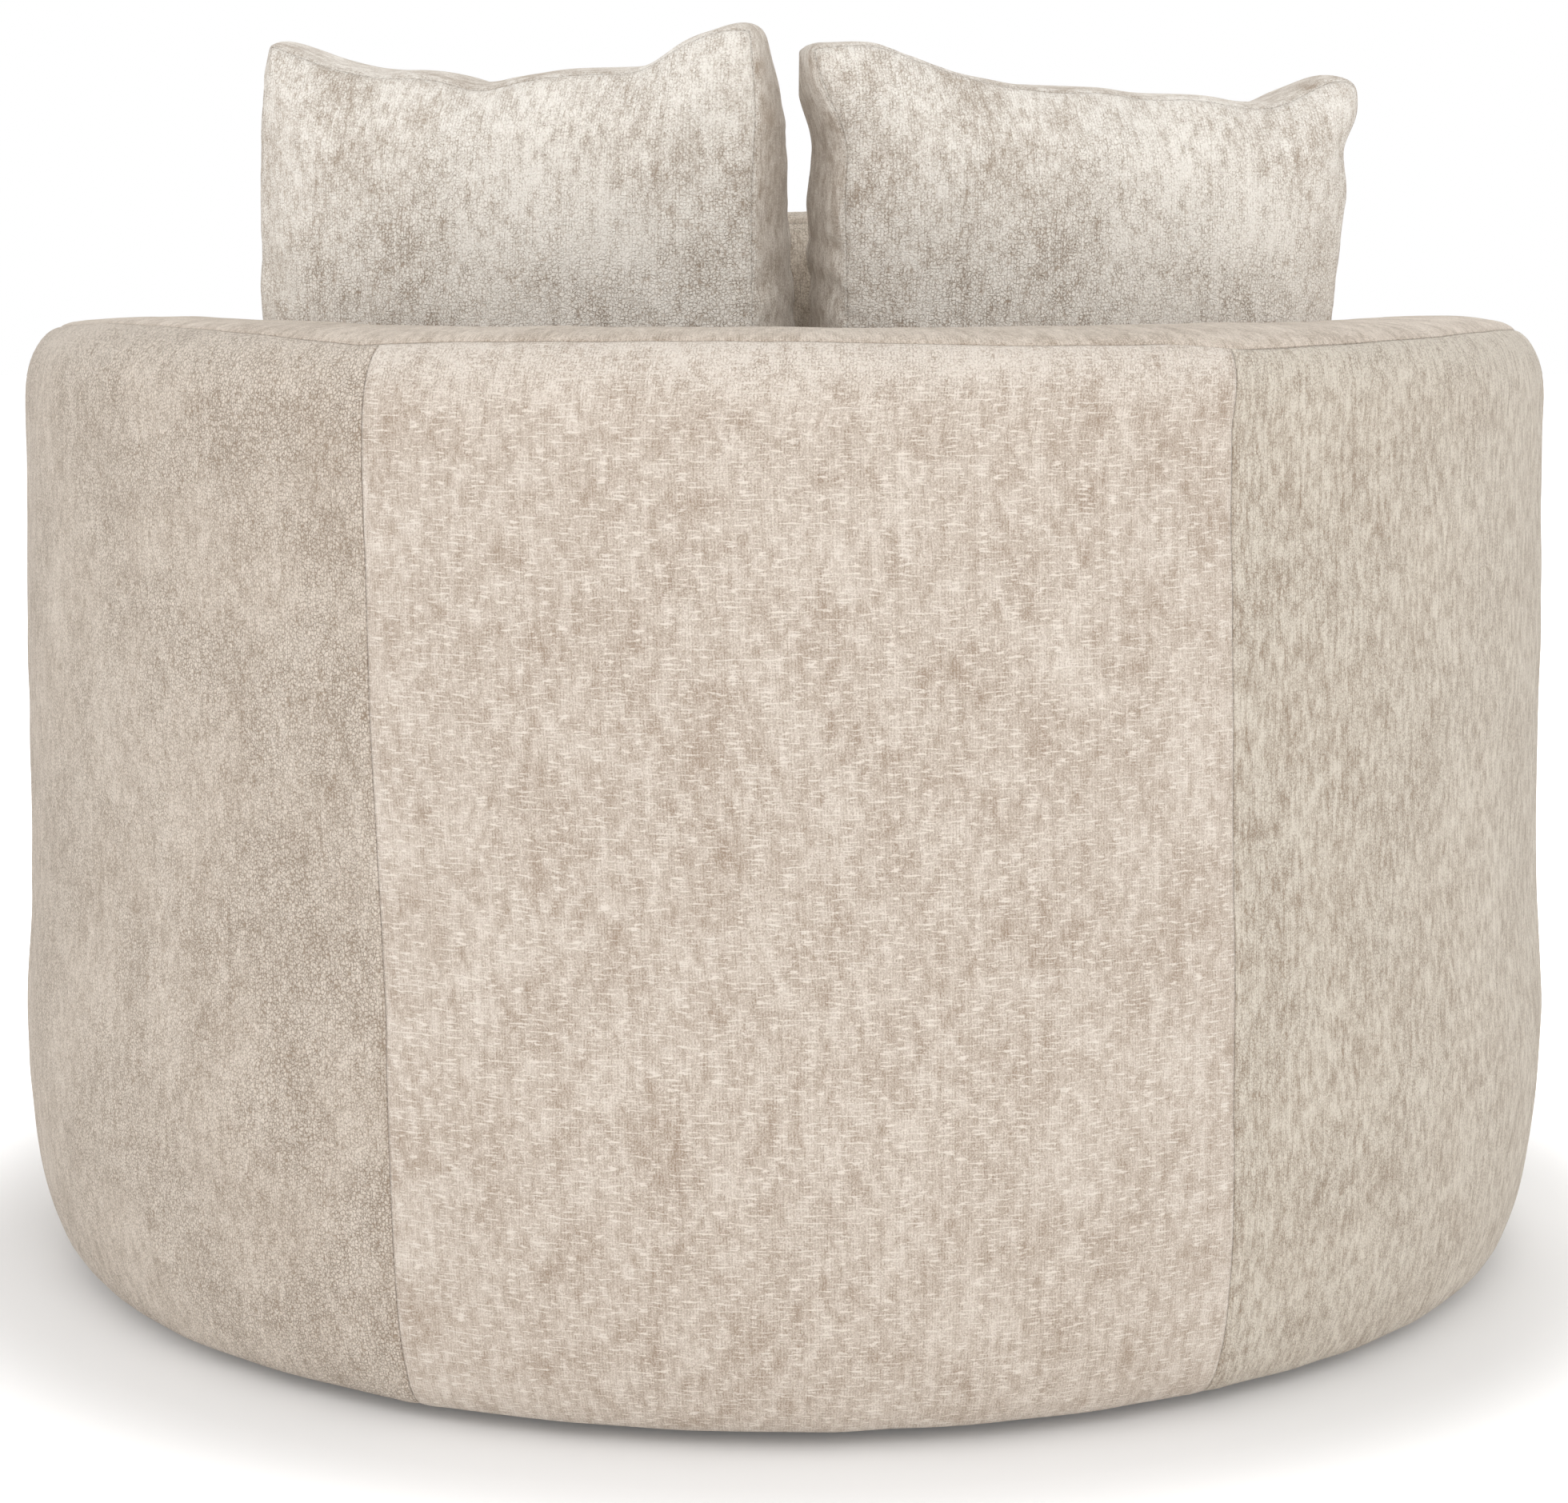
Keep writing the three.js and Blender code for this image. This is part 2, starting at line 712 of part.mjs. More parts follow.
function pivotPin() {
  const radius = pinDiameter / 2;
  const flangeTop = lowerPlateBottom - gap;
  const flangeBottom = flangeTop - pinFlangeThickness;
  const top = crossRailBottom + nutHeight + plateThickness;
  return turned([
    [0, flangeBottom], [pinFlangeDiameter / 2, flangeBottom], [pinFlangeDiameter / 2, flangeTop],
    [radius, flangeTop], [radius, top], [0, top],
  ], roundSteps / 2);
}

function pivotNut() {
  const top = crossRailBottom + nutHeight;
  const bore = rod(pinDiameter + 4 * gap, crossRailBottom - overrun, top + overrun);
  return toGeometry(toSolid(rod(nutDiameter, crossRailBottom, top, 6)).subtract(toSolid(bore)));
}

function plateBolt() {
  const headBottom = upperPlateBottom - gap - boltHeadHeight;
  const headTop = upperPlateBottom - gap;
  return turned([
    [0, headBottom], [boltHeadDiameter / 2, headBottom], [boltHeadDiameter / 2, headTop],
    [boltDiameter / 2, headTop], [boltDiameter / 2, crossRailTop], [0, crossRailTop],
  ], roundSteps / 6);
}

// Cushions: rings around a middle, closed by a point at either end.
function cushionForm(rings, bottom, top) {
  const closedRings = [rings[0].map(() => bottom), ...rings, rings[0].map(() => top)];
  return loft(closedRings);
}

function drawnIn(plan, inset) {
  return plan.map((point, index) => {
    const before = plan.at(index - 1);
    const after = plan[(index + 1) % plan.length];
    const along = after.clone().sub(before).normalize();
    return new THREE.Vector2(point.x + along.y * -inset, point.y + along.x * inset);
  });
}

const seatRadius = wellRadius * Math.cos(sideStep / 2) - cushionFit;
const seatTopShares = [[0.93, 0.14], [0.76, 0.55], [0.45, 0.88]];

// The seat cushion's form at a depth under its cloth, and at its own depth above the underside.
// The plan runs against the clock, so its points move inwards by a negative inset.
function seatForm(depth, rise = depth) {
  const plan = wellPlan(seatRadius, seatFrontRadius, cushionFit);
  const level = (inset, height) => drawnIn(plan, -(inset + depth)).map(
    (point) => new THREE.Vector3(point.x, point.y, height),
  );
  const scaled = (share, height) => {
    const inset = seatEdgeRound + depth + seatNeckInset * (1 - share);
    return drawnIn(plan, -inset).map(
      (point) => new THREE.Vector3(point.x * share, point.y * share, height),
    );
  };
  const low = seatBottom + rise;
  const high = seatBottom + seatThickness - depth;
  const rings = [
    scaled(seatTopShares[0][0], low),
    level(seatEdgeRound, low + seatEdgeRound / 2),
    level(0, low + seatEdge),
    level(seatGussetDraw, (low + high) / 2),
    level(0, high - seatEdge),
    level(seatEdgeRound, high - seatEdgeRound / 2),
    ...seatTopShares.map(([share, crown]) => scaled(share, high + seatCrown * crown)),
  ];
  const middle = (height) => new THREE.Vector3(0, 0, height);
  return cushionForm(rings, middle(low), middle(high + seatCrown));
}

// One quarter of a pillow's outline is mirrored by the signs of its corner.
const pillowSideShares = [0.12, 0.36, 0.64, 0.88];
const pillowRingShares = [[0.42, 0.94], [0.74, 0.68], [0.92, 0.3]];
const cornerPinchShare = 0.35;
const cornerTuckShare = 0.3;
const gussetDrawShare = 0.985;

function pillowPlan(size, depth) {
  const halfWidth = size.width / 2 - depth;
  const halfHeight = size.height / 2 - depth;
  const points = [];
  const side = (from, to, draw) => {
    const inward = new THREE.Vector2(from.y - to.y, to.x - from.x).normalize();
    for (const share of pillowSideShares) {
      const point = from.clone().lerp(to, share);
      points.push(point.addScaledVector(inward, draw * Math.sin(share * Math.PI)));
    }
  };
  const corners = [[1, -1], [1, 1], [-1, 1], [-1, -1]].map(
    ([x, y]) => new THREE.Vector2(x * halfWidth, y * halfHeight),
  );
  const draws = [size.sideDraw, size.topDraw, size.sideDraw, size.bottomDraw];
  corners.forEach((corner, index) => {
    const next = corners[(index + 1) % 4];
    const before = corners.at(index - 1);
    const toBefore = before.clone().sub(corner).setLength(size.corner);
    const toNext = next.clone().sub(corner).setLength(size.corner);
    const tuck = toBefore.clone().add(toNext).multiplyScalar(cornerTuckShare);
    points.push(corner.clone().add(toBefore), corner.clone().add(tuck), corner.clone().add(toNext));
    side(corner.clone().add(toNext), next.clone().addScaledVector(toNext, -1), draws[index]);
  });
  return points;
}

// A boxed pillow's form at a depth under its cloth: X across, Y through, Z up.
function pillowForm(size, depth) {
  const plan = pillowPlan(size, depth);
  const seam = (point) => {
    const across = Math.abs(point.x) / (size.width / 2 - depth);
    const up = Math.abs(point.y) / (size.height / 2 - depth);
    return (size.gusset / 2 - depth) * (1 - cornerPinchShare * (across * up) ** 6);
  };
  const ring = (scale, through) => plan.map(
    (point) => new THREE.Vector3(point.x * scale, through(point), point.y * scale),
  );
  const face = (side) => pillowRingShares.map(
    ([scale, rise]) => ring(scale, (point) => side * (seam(point) + size.crown * rise)),
  );
  const rings = [
    ...face(-1),
    ring(1, (point) => -seam(point)),
    ring(gussetDrawShare, () => 0),
    ring(1, seam),
    ...face(1).reverse(),
  ];
  const end = (side) => new THREE.Vector3(0, side * (size.gusset / 2 - depth + size.crown), 0);
  return cushionForm(rings, end(-1), end(1));
}

function placement(x, y, z, lean, roll, toe) {
  const turn = new THREE.Euler(-lean, -roll, -toe, 'ZYX');
  return new THREE.Matrix4().compose(
    new THREE.Vector3(x, y, z), new THREE.Quaternion().setFromEuler(turn), new THREE.Vector3(1, 1, 1),
  );
}

// What is left of a pillow above the seat cushion, which it stands on.
function aboveSeat(form, place, clearance) {
  const seat = seatForm(0).translate(0, 0, clearance).applyMatrix4(place.clone().invert());
  return toSolid(form).subtract(toSolid(seat));
}

// A cover with its zip in one side, and the fill inside it.
function coverParts(outer, inner, fill, slot, zip) {
  const shell = outer.subtract(inner);
  return {
    cover: toGeometry(shell.subtract(toSolid(slot))),
    zip: toGeometry(shell.intersect(toSolid(zip))),
    fill: toGeometry(fill),
  };
}

function seatParts() {
  const middle = seatBottom + seatThickness / 2;
  const reach = 2 * overrun + seatZipLength / 4;
  const strap = (length, width) => block(length, reach, middle - width / 2, middle + width / 2)
    .translate(0, seatRadius, 0);
  return coverParts(
    toSolid(seatForm(0)), toSolid(seatForm(coverThickness)),
    toSolid(seatForm(coverThickness + seatFillFit, layerDepth)),
    strap(seatZipLength + 2 * gap, zipWidth + 2 * gap), strap(seatZipLength, zipWidth),
  );
}

function backPillowParts(side, place) {
  const strap = (length, width) => block(2 * overrun, width, -length / 2, length / 2)
    .translate((side * pillow.width) / 2, 0, 0);
  return coverParts(
    aboveSeat(pillowForm(pillow, 0), place, gap),
    aboveSeat(pillowForm(pillow, coverThickness), place, gap + coverThickness),
    aboveSeat(pillowForm(pillow, coverThickness + fillFit), place, gap + layerDepth),
    strap(pillowZipLength + 2 * gap, zipWidth + 2 * gap), strap(pillowZipLength, zipWidth),
  );
}

// Assembly
const chair = new THREE.Group();

function add(name, geometry, finish, parent = chair) {
  const material = new THREE.MeshStandardMaterial({ metalness: 0, ...finish, name });
  const mesh = new THREE.Mesh(geometry, material);
  mesh.name = name;
  parent.add(mesh);
  return mesh;
}

function group(parent = chair) {
  const made = new THREE.Group();
  parent.add(made);
  return made;
}

const base = group();
add('base_board', baseBoard(), plywood, base);
const glideCircle = baseBoardRadius - glideInset;
for (let glide = 0; glide < 4; glide += 1) {
  const mesh = add(`glide_${glide + 1}`, rod(2 * glideRadius, 0, glideHeight), blackPlastic, base);
  mesh.position.copy(polar(glideCircle, (glide * Math.PI) / 2, 0));
}
add('lower_swivel_plate', lowerSwivelPlate(), steel, base);
add('pivot_pin', pivotPin(), steel, base);
add('pivot_nut', pivotNut(), steel, base);
add('ball_cage', ballCage(), nylon);

const shell = group();
add('upper_swivel_plate', upperSwivelPlate(), steel, shell);
boltPlaces().forEach(([x, y], index) => {
  add(`plate_bolt_${index + 1}`, plateBolt(), steel, shell).position.set(x, y, 0);
});
add('cross_rail_front_left', crossRail(true), timber, shell).rotation.z = -Math.PI / 4;
add('cross_rail_front_right', crossRail(false), timber, shell).rotation.z = Math.PI / 4;
add('bottom_ring', ringBoard(
  bottomRingOuter - bottomRingWidth, bottomRingOuter, bottomRingBottom, bottomRingTop,
), plywood, shell);
add('dust_cover', ringBoard(
  baseBoardRadius + 2 * dustCoverMargin, bottomRingOuter - dustCoverMargin,
  bottomRingBottom - gap - dustCoverThickness, bottomRingBottom - gap,
), cloth, shell);
for (const [name, angle] of Object.entries(postAngles)) add(name, post(angle), timber, shell);
add('top_rail_back', topRail(postAngles.post_back_right, postAngles.post_back_left), plywood, shell);
add('top_rail_left', topRail(postAngles.post_back_left, sideEnd), plywood, shell);
add('top_rail_right', topRail(-sideEnd, postAngles.post_back_right), plywood, shell);
add('back_liner', sweep(railAngles, linerSection), board, shell);
add('front_rail', frontRail(), plywood, shell);
add('seat_ring', ringBoard(seatRingInner, seatRingOuter, seatRingBottom, seatRingTop), plywood, shell);
for (const [name, middle] of [['spring_strip_rear', 0], ['spring_strip_front', Math.PI]]) {
  const angles = spread(middle - springStripAngle, middle + springStripAngle, backSteps * 4);
  add(name, sweep(angles, () => rectangle(
    springEndRadius - springStripWidth / 2, springEndRadius + springStripWidth / 2,
    springStripBottom, springStripTop,
  )), steel, shell);
}
for (let spring = 0; spring < springCount; spring += 1) {
  const across = (spring - (springCount - 1) / 2) * springSpacing;
  add(`seat_spring_${spring + 1}`, sinuousSpring(across), steel, shell);
}
add('deck_pad', deckLayer(deckPadBottom, deckPadTop), fibre, shell);
add('deck_cover', deckLayer(deckCoverBottom, deckHeight), cloth, shell);
add('wall_padding', sweep(layerAngles, paddingSection), fibre, shell);
add('inner_foam', sweep(layerAngles, innerFoamSection), foam, shell);
add('rim_foam', sweep(layerAngles, rimFoamSection), foam, shell);
add('front_foam', sweep(frontAngles, frontFoamSection), foam, shell);
add('outer_cover_back', sweep(
  anglesBetween(-seamAngle + sideSeamGap, seamAngle - sideSeamGap), outerCoverSection,
), chenille, shell);
add('outer_cover_left', sweep(
  anglesBetween(seamAngle + sideSeamGap, armEnd), outerCoverSection,
), chenille, shell);
add('outer_cover_right', sweep(
  anglesBetween(-armEnd, -seamAngle - sideSeamGap), outerCoverSection,
), chenille, shell);
add('rim_band', sweep(wallAngles, rimBandSection), chenille, shell);
add('inner_cover', sweep(wallAngles, innerCoverSection), chenille, shell);
add('arm_facing_left', armFacing(1), chenille, shell);
add('arm_facing_right', armFacing(-1), chenille, shell);
add('front_border', sweep(frontAngles, frontBorderSection), chenille, shell);

const seat = group(shell);
const seatPieces = seatParts();
add('seat_cushion_cover', seatPieces.cover, chenille, seat);
add('seat_cushion_zip', seatPieces.zip, blackPlastic, seat);
add('seat_cushion_fill', seatPieces.fill, foam, seat);

for (const [name, side] of [['left', 1], ['right', -1]]) {
  const place = placement(
    side * pillowAcross, pillowBack, pillowCentreHeight, pillowLean, side * pillowRoll, side * pillowToe,
  );
  const pieces = backPillowParts(side, place);
  const placed = group(seat);
  placed.applyMatrix4(place);
  add(`back_pillow_cover_${name}`, pieces.cover, chenille, placed);
  add(`back_pillow_zip_${name}`, pieces.zip, blackPlastic, placed);
  add(`back_pillow_fill_${name}`, pieces.fill, fibre, placed);
}

const lumbarPlace = placement(0, lumbarBack, lumbarCentreHeight, lumbarLean, 0, 0);
const lumbarGroup = group(seat);
lumbarGroup.applyMatrix4(lumbarPlace);
add('lumbar_pillow', toGeometry(aboveSeat(pillowForm(lumbar, 0), lumbarPlace, gap)), chenille, lumbarGroup);

export default chair;
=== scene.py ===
# A round swivel cuddle chair in oatmeal chenille. The sections follow the chair from the swivel
# base to the loose pillows. Metres, +Z up, the front faces -Y, and angles around the tub are
# measured from the back (+Y) and grow towards +X.
import math

import bmesh
import bpy
import numpy as np
from mathutils import Euler, Matrix, Vector, noise
from mathutils.bvhtree import BVHTree


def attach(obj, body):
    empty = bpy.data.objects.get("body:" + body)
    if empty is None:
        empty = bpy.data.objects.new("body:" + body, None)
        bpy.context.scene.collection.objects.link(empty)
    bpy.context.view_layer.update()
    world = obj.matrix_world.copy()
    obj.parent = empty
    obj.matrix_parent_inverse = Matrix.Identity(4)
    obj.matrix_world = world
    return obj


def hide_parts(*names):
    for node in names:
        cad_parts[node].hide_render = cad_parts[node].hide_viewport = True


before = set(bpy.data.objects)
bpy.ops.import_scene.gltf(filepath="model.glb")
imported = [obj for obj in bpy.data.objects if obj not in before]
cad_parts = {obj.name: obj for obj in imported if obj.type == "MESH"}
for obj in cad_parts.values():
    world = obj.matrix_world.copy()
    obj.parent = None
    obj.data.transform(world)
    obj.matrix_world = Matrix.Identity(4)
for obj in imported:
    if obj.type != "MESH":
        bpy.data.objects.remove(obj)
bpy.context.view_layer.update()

scene = bpy.context.scene


# Swivel base. A round plywood board on four plastic glides carries a steel swivel plate. Loose
# balls in a nylon cage run between it and the plate that is bolted under the chair.
def colour(red, green, blue):
    """A paint chip's numbers, 0 to 255, as the light they stand for."""
    return tuple((c / 12.92 if c <= 0.04045 else ((c + 0.055) / 1.055) ** 2.4)
                 for c in (red / 255, green / 255, blue / 255)) + (1.0,)


def start_material(name):
    made = bpy.data.materials.new(name)
    made.use_nodes = True
    return made, made.node_tree, made.node_tree.nodes["Principled BSDF"]


def feed(entry, value):
    """Sets a socket to a number or a colour, or links it to another node's output."""
    if isinstance(value, bpy.types.NodeSocket):
        entry.id_data.links.new(value, entry)
    else:
        entry.default_value = value


def add_node(tree, kind, **settings):
    """Each setting goes to the node's socket of that name, or else to the node itself."""
    made = tree.nodes.new("ShaderNode" + kind)
    for key, value in settings.items():
        if key in made.inputs:
            feed(made.inputs[key], value)
        else:
            setattr(made, key, value)
    return made


def on_piece(tree):
    return add_node(tree, "TexCoord").outputs["Object"]


def axes(vector):
    return add_node(vector.id_data, "SeparateXYZ", Vector=vector).outputs


def maths(operation, first, second=0.5, third=0.5, clamp=False):
    """A maths node on another node's output, and on numbers or more outputs."""
    made = add_node(first.id_data, "Math", operation=operation, use_clamp=clamp)
    for entry, value in zip(made.inputs, (first, second, third)):
        feed(entry, value)
    return made.outputs[0]


def times(first, second):
    return maths("MULTIPLY", first, second)


def fade(value, low, high, start=0.0, end=1.0):
    limits = {"From Min": low, "From Max": high, "To Min": start, "To Max": end}
    made = add_node(value.id_data, "MapRange", interpolation_type="SMOOTHSTEP", Value=value, **limits)
    return made.outputs["Result"]


def mixed(amount, first, second):
    made = add_node(amount.id_data, "Mix", data_type="RGBA")
    for entry, value in ((0, amount), (6, first), (7, second)):
        feed(made.inputs[entry], value)
    return made.outputs[2]


def new_group(name, entries, results):
    """Entries give what each input holds unless it is set: a number, a colour, or None for a place."""
    group = bpy.data.node_groups.new(name, "ShaderNodeTree")
    kinds = {float: "NodeSocketFloat", tuple: "NodeSocketColor", type(None): "NodeSocketVector"}
    for title, value in entries.items():
        socket = group.interface.new_socket(title, in_out="INPUT", socket_type=kinds[type(value)])
        if value is not None:
            socket.default_value = value
    for title, kind in results.items():
        group.interface.new_socket(title, in_out="OUTPUT", socket_type=kind)
    return group, group.nodes.new("NodeGroupInput").outputs, group.nodes.new("NodeGroupOutput").inputs


def scaled(vector, x, y, z, turn=0.0):
    return add_node(vector.id_data, "Mapping", Vector=vector, Rotation=(0, 0, turn),
                    Scale=(x, y, z)).outputs["Vector"]


def speckle(vector, scale, detail=2.0, roughness=0.5):
    return add_node(vector.id_data, "TexNoise", Vector=vector, Scale=scale, Detail=detail,
                    Roughness=roughness).outputs["Fac"]


def coat(shader, base, roughness, height, distance, strength=1.0):
    """Gives a material its colour, roughness and relief."""
    bump = add_node(shader.id_data, "Bump", Distance=distance, Strength=strength, Height=height)
    for title, value in (("Base Color", base), ("Roughness", roughness), ("Normal", bump.outputs["Normal"])):
        feed(shader.inputs[title], value)


def make_wear_group():
    """Fine scuffs and rubbed patches that hard pieces share."""
    group, entry, result = new_group("hand wear", {"Vector": None, "Size": 40.0},
                                     {"Scuffs": "NodeSocketFloat", "Patches": "NodeSocketFloat"})
    cloud = speckle(entry["Vector"], entry["Size"], 4.0, 0.6)
    fine = speckle(entry["Vector"], times(entry["Size"], 14.0), 6.0, 0.7)
    feed(result["Patches"], fade(cloud, 0.42, 0.66))
    feed(result["Scuffs"], fade(fine, 0.5, 0.74))
    return group


wear_group = make_wear_group()


def finish_nodes(names, material):
    for name in names:
        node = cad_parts[name]
        node.data.materials.clear()
        node.data.materials.append(material)


def counted(name, count):
    return [f"{name}_{number}" for number in range(1, count + 1)]


def make_plastic(name, base, rubbed, roughness):
    material, tree, shader = start_material(name)
    place = on_piece(tree)
    wear = add_node(tree, "Group", node_tree=wear_group, Vector=place, Size=60.0).outputs
    coat(shader, mixed(wear["Scuffs"], base, rubbed),
         fade(wear["Patches"], 0.0, 1.0, roughness - 0.08, roughness + 0.1),
         speckle(place, 900.0), 0.00015)
    return material


def make_plywood():
    """Birch plywood: a drawn-out grain on the faces and darker plies on the sawn edges."""
    material, tree, shader = start_material("birch plywood")
    place = on_piece(tree)
    grain = speckle(scaled(place, 1.5, 22.0, 22.0), 9.0, 6.0, 0.62)
    face = mixed(fade(grain, 0.35, 0.7), colour(222, 186, 138), colour(190, 148, 98))
    plies = maths("FRACT", times(axes(place)["Z"], 1 / 0.0044))
    edge = mixed(fade(plies, 0.45, 0.55), colour(203, 164, 114), colour(143, 103, 64))
    facing = axes(add_node(tree, "NewGeometry").outputs["Normal"])
    flat = fade(maths("ABSOLUTE", facing["Z"]), 0.5, 0.7)
    coat(shader, mixed(flat, edge, face), 0.72, grain, 0.0004, 0.6)
    return material


def make_steel():
    """Zinc-plated steel with the fine lines of the rolling mill."""
    material, tree, shader = start_material("zinc plated steel")
    place = on_piece(tree)
    lines = speckle(scaled(place, 1.0, 40.0, 40.0), 60.0, 3.0)
    wear = add_node(tree, "Group", node_tree=wear_group, Vector=place, Size=25.0).outputs
    coat(shader, mixed(wear["Patches"], colour(178, 180, 181), colour(146, 148, 148)),
         fade(lines, 0.3, 0.7, 0.28, 0.46), lines, 0.0001, 0.5)
    shader.inputs["Metallic"].default_value = 1.0
    return material


plywood = make_plywood()
steel = make_steel()
finish_nodes(["base_board"], plywood)
finish_nodes(counted("glide", 4),
             make_plastic("black glide plastic", colour(28, 28, 29), colour(58, 57, 56), 0.5))
finish_nodes(["lower_swivel_plate", "upper_swivel_plate", "pivot_pin", "pivot_nut"], steel)
finish_nodes(counted("plate_bolt", 4), steel)
finish_nodes(["ball_cage"], make_plastic("nylon cage", colour(233, 230, 220), colour(214, 209, 196), 0.42))


# Frame. Crossed rails and five posts are sawn from softwood, and the rings and the bent top and
# front rails are birch plywood. They are glued and stapled, and a fibre board closes the back.
def make_timber():
    material, tree, shader = start_material("sawn softwood")
    place = on_piece(tree)
    rings = add_node(tree, "TexWave", Vector=scaled(place, 1.0, 1.0, 0.12), Scale=18.0,
                     Distortion=5.0, Detail=3.0, **{"Detail Scale": 1.2})
    fibre = speckle(scaled(place, 30.0, 30.0, 2.0), 14.0, 5.0)
    base = mixed(rings.outputs["Fac"], colour(216, 180, 128), colour(184, 138, 88))
    coat(shader, mixed(fade(fibre, 0.4, 0.75, 0.0, 0.4), base, colour(160, 116, 72)),
         0.75, fibre, 0.0005, 0.6)
    return material


def make_liner_board():
    material, tree, shader = start_material("grey brown fibre board")
    pulp = speckle(on_piece(tree), 180.0, 6.0, 0.7)
    clumps = fade(pulp, 0.35, 0.7)
    coat(shader, mixed(clumps, colour(171, 141, 100), colour(139, 109, 73)), 0.9,
         pulp, 0.0004, 0.5)
    return material


finish_nodes(["cross_rail_front_left", "cross_rail_front_right", "post_back", "post_back_left",
              "post_back_right", "post_arm_left", "post_arm_right"], make_timber())
finish_nodes(["bottom_ring", "seat_ring", "front_rail", "top_rail_back", "top_rail_left",
              "top_rail_right"], plywood)
finish_nodes(["back_liner"], make_liner_board())


# Springs and platform. Zigzag steel springs clip to two strips on the seat ring, under a fibre
# pad and a woven black platform cloth. The same cloth closes the underside.
def make_platform_cloth():
    material, tree, shader = start_material("black platform cloth")
    place = on_piece(tree)
    across, along = (add_node(tree, "TexWave", Vector=place, Scale=380.0, bands_direction=way)
                     for way in "XY")
    weave = maths("MAXIMUM", across.outputs["Fac"], along.outputs["Fac"])
    coat(shader, mixed(weave, colour(30, 29, 28), colour(56, 53, 51)), 0.95, weave, 0.0004, 0.6)
    return material


def make_padding(name, light, dark, size, depth):
    """Foam cells or fibre wadding, by the size of the noise."""
    material, tree, shader = start_material(name)
    place = on_piece(tree)
    cells = speckle(place, size, 5.0, 0.65)
    cloud = times(speckle(place, 9.0), 0.4)
    tone = fade(maths("MULTIPLY_ADD", cells, 0.7, cloud), 0.35, 0.75)
    coat(shader, mixed(tone, dark, light), 0.95, cells, depth, 0.8)
    return material


wadding = make_padding("polyester wadding", colour(243, 243, 239), colour(222, 221, 214), 90.0, 0.002)
foam = make_padding("cream foam", colour(238, 229, 184), colour(216, 204, 152), 700.0, 0.0006)
platform_cloth = make_platform_cloth()
finish_nodes(["spring_strip_rear", "spring_strip_front"] + counted("seat_spring", 4), steel)
finish_nodes(["deck_pad", "wall_padding", "back_pillow_fill_left", "back_pillow_fill_right"], wadding)
finish_nodes(["inner_foam", "rim_foam", "front_foam", "seat_cushion_fill"], foam)
finish_nodes(["dust_cover"], platform_cloth)


# Chenille. A soft pile cloth with fine ribs along its length and short pale floats across them.
# Where the pile stands up it breaks into small tufts, and where it is brushed it runs in streaks.
# Its plan is on the piece's UV map in metres, and "seam" is the distance to the nearest sewn edge.
rib_pitch = 0.0021
stitch_pitch = 0.0058
tuft_scale = 430.0
tuft_bend = 0.0016


def add_up(start, *layers):
    """A start value and masks around a half, each times its weight."""
    for mask, weight in layers:
        around = maths("SUBTRACT", mask, 0.5)
        start = maths("ADD", times(around, weight), start)
    return start


def wave(value, pitch):
    """0 at every whole pitch and 1 halfway between."""
    turn = times(value, math.pi / pitch)
    return maths("ABSOLUTE", maths("SINE", turn))


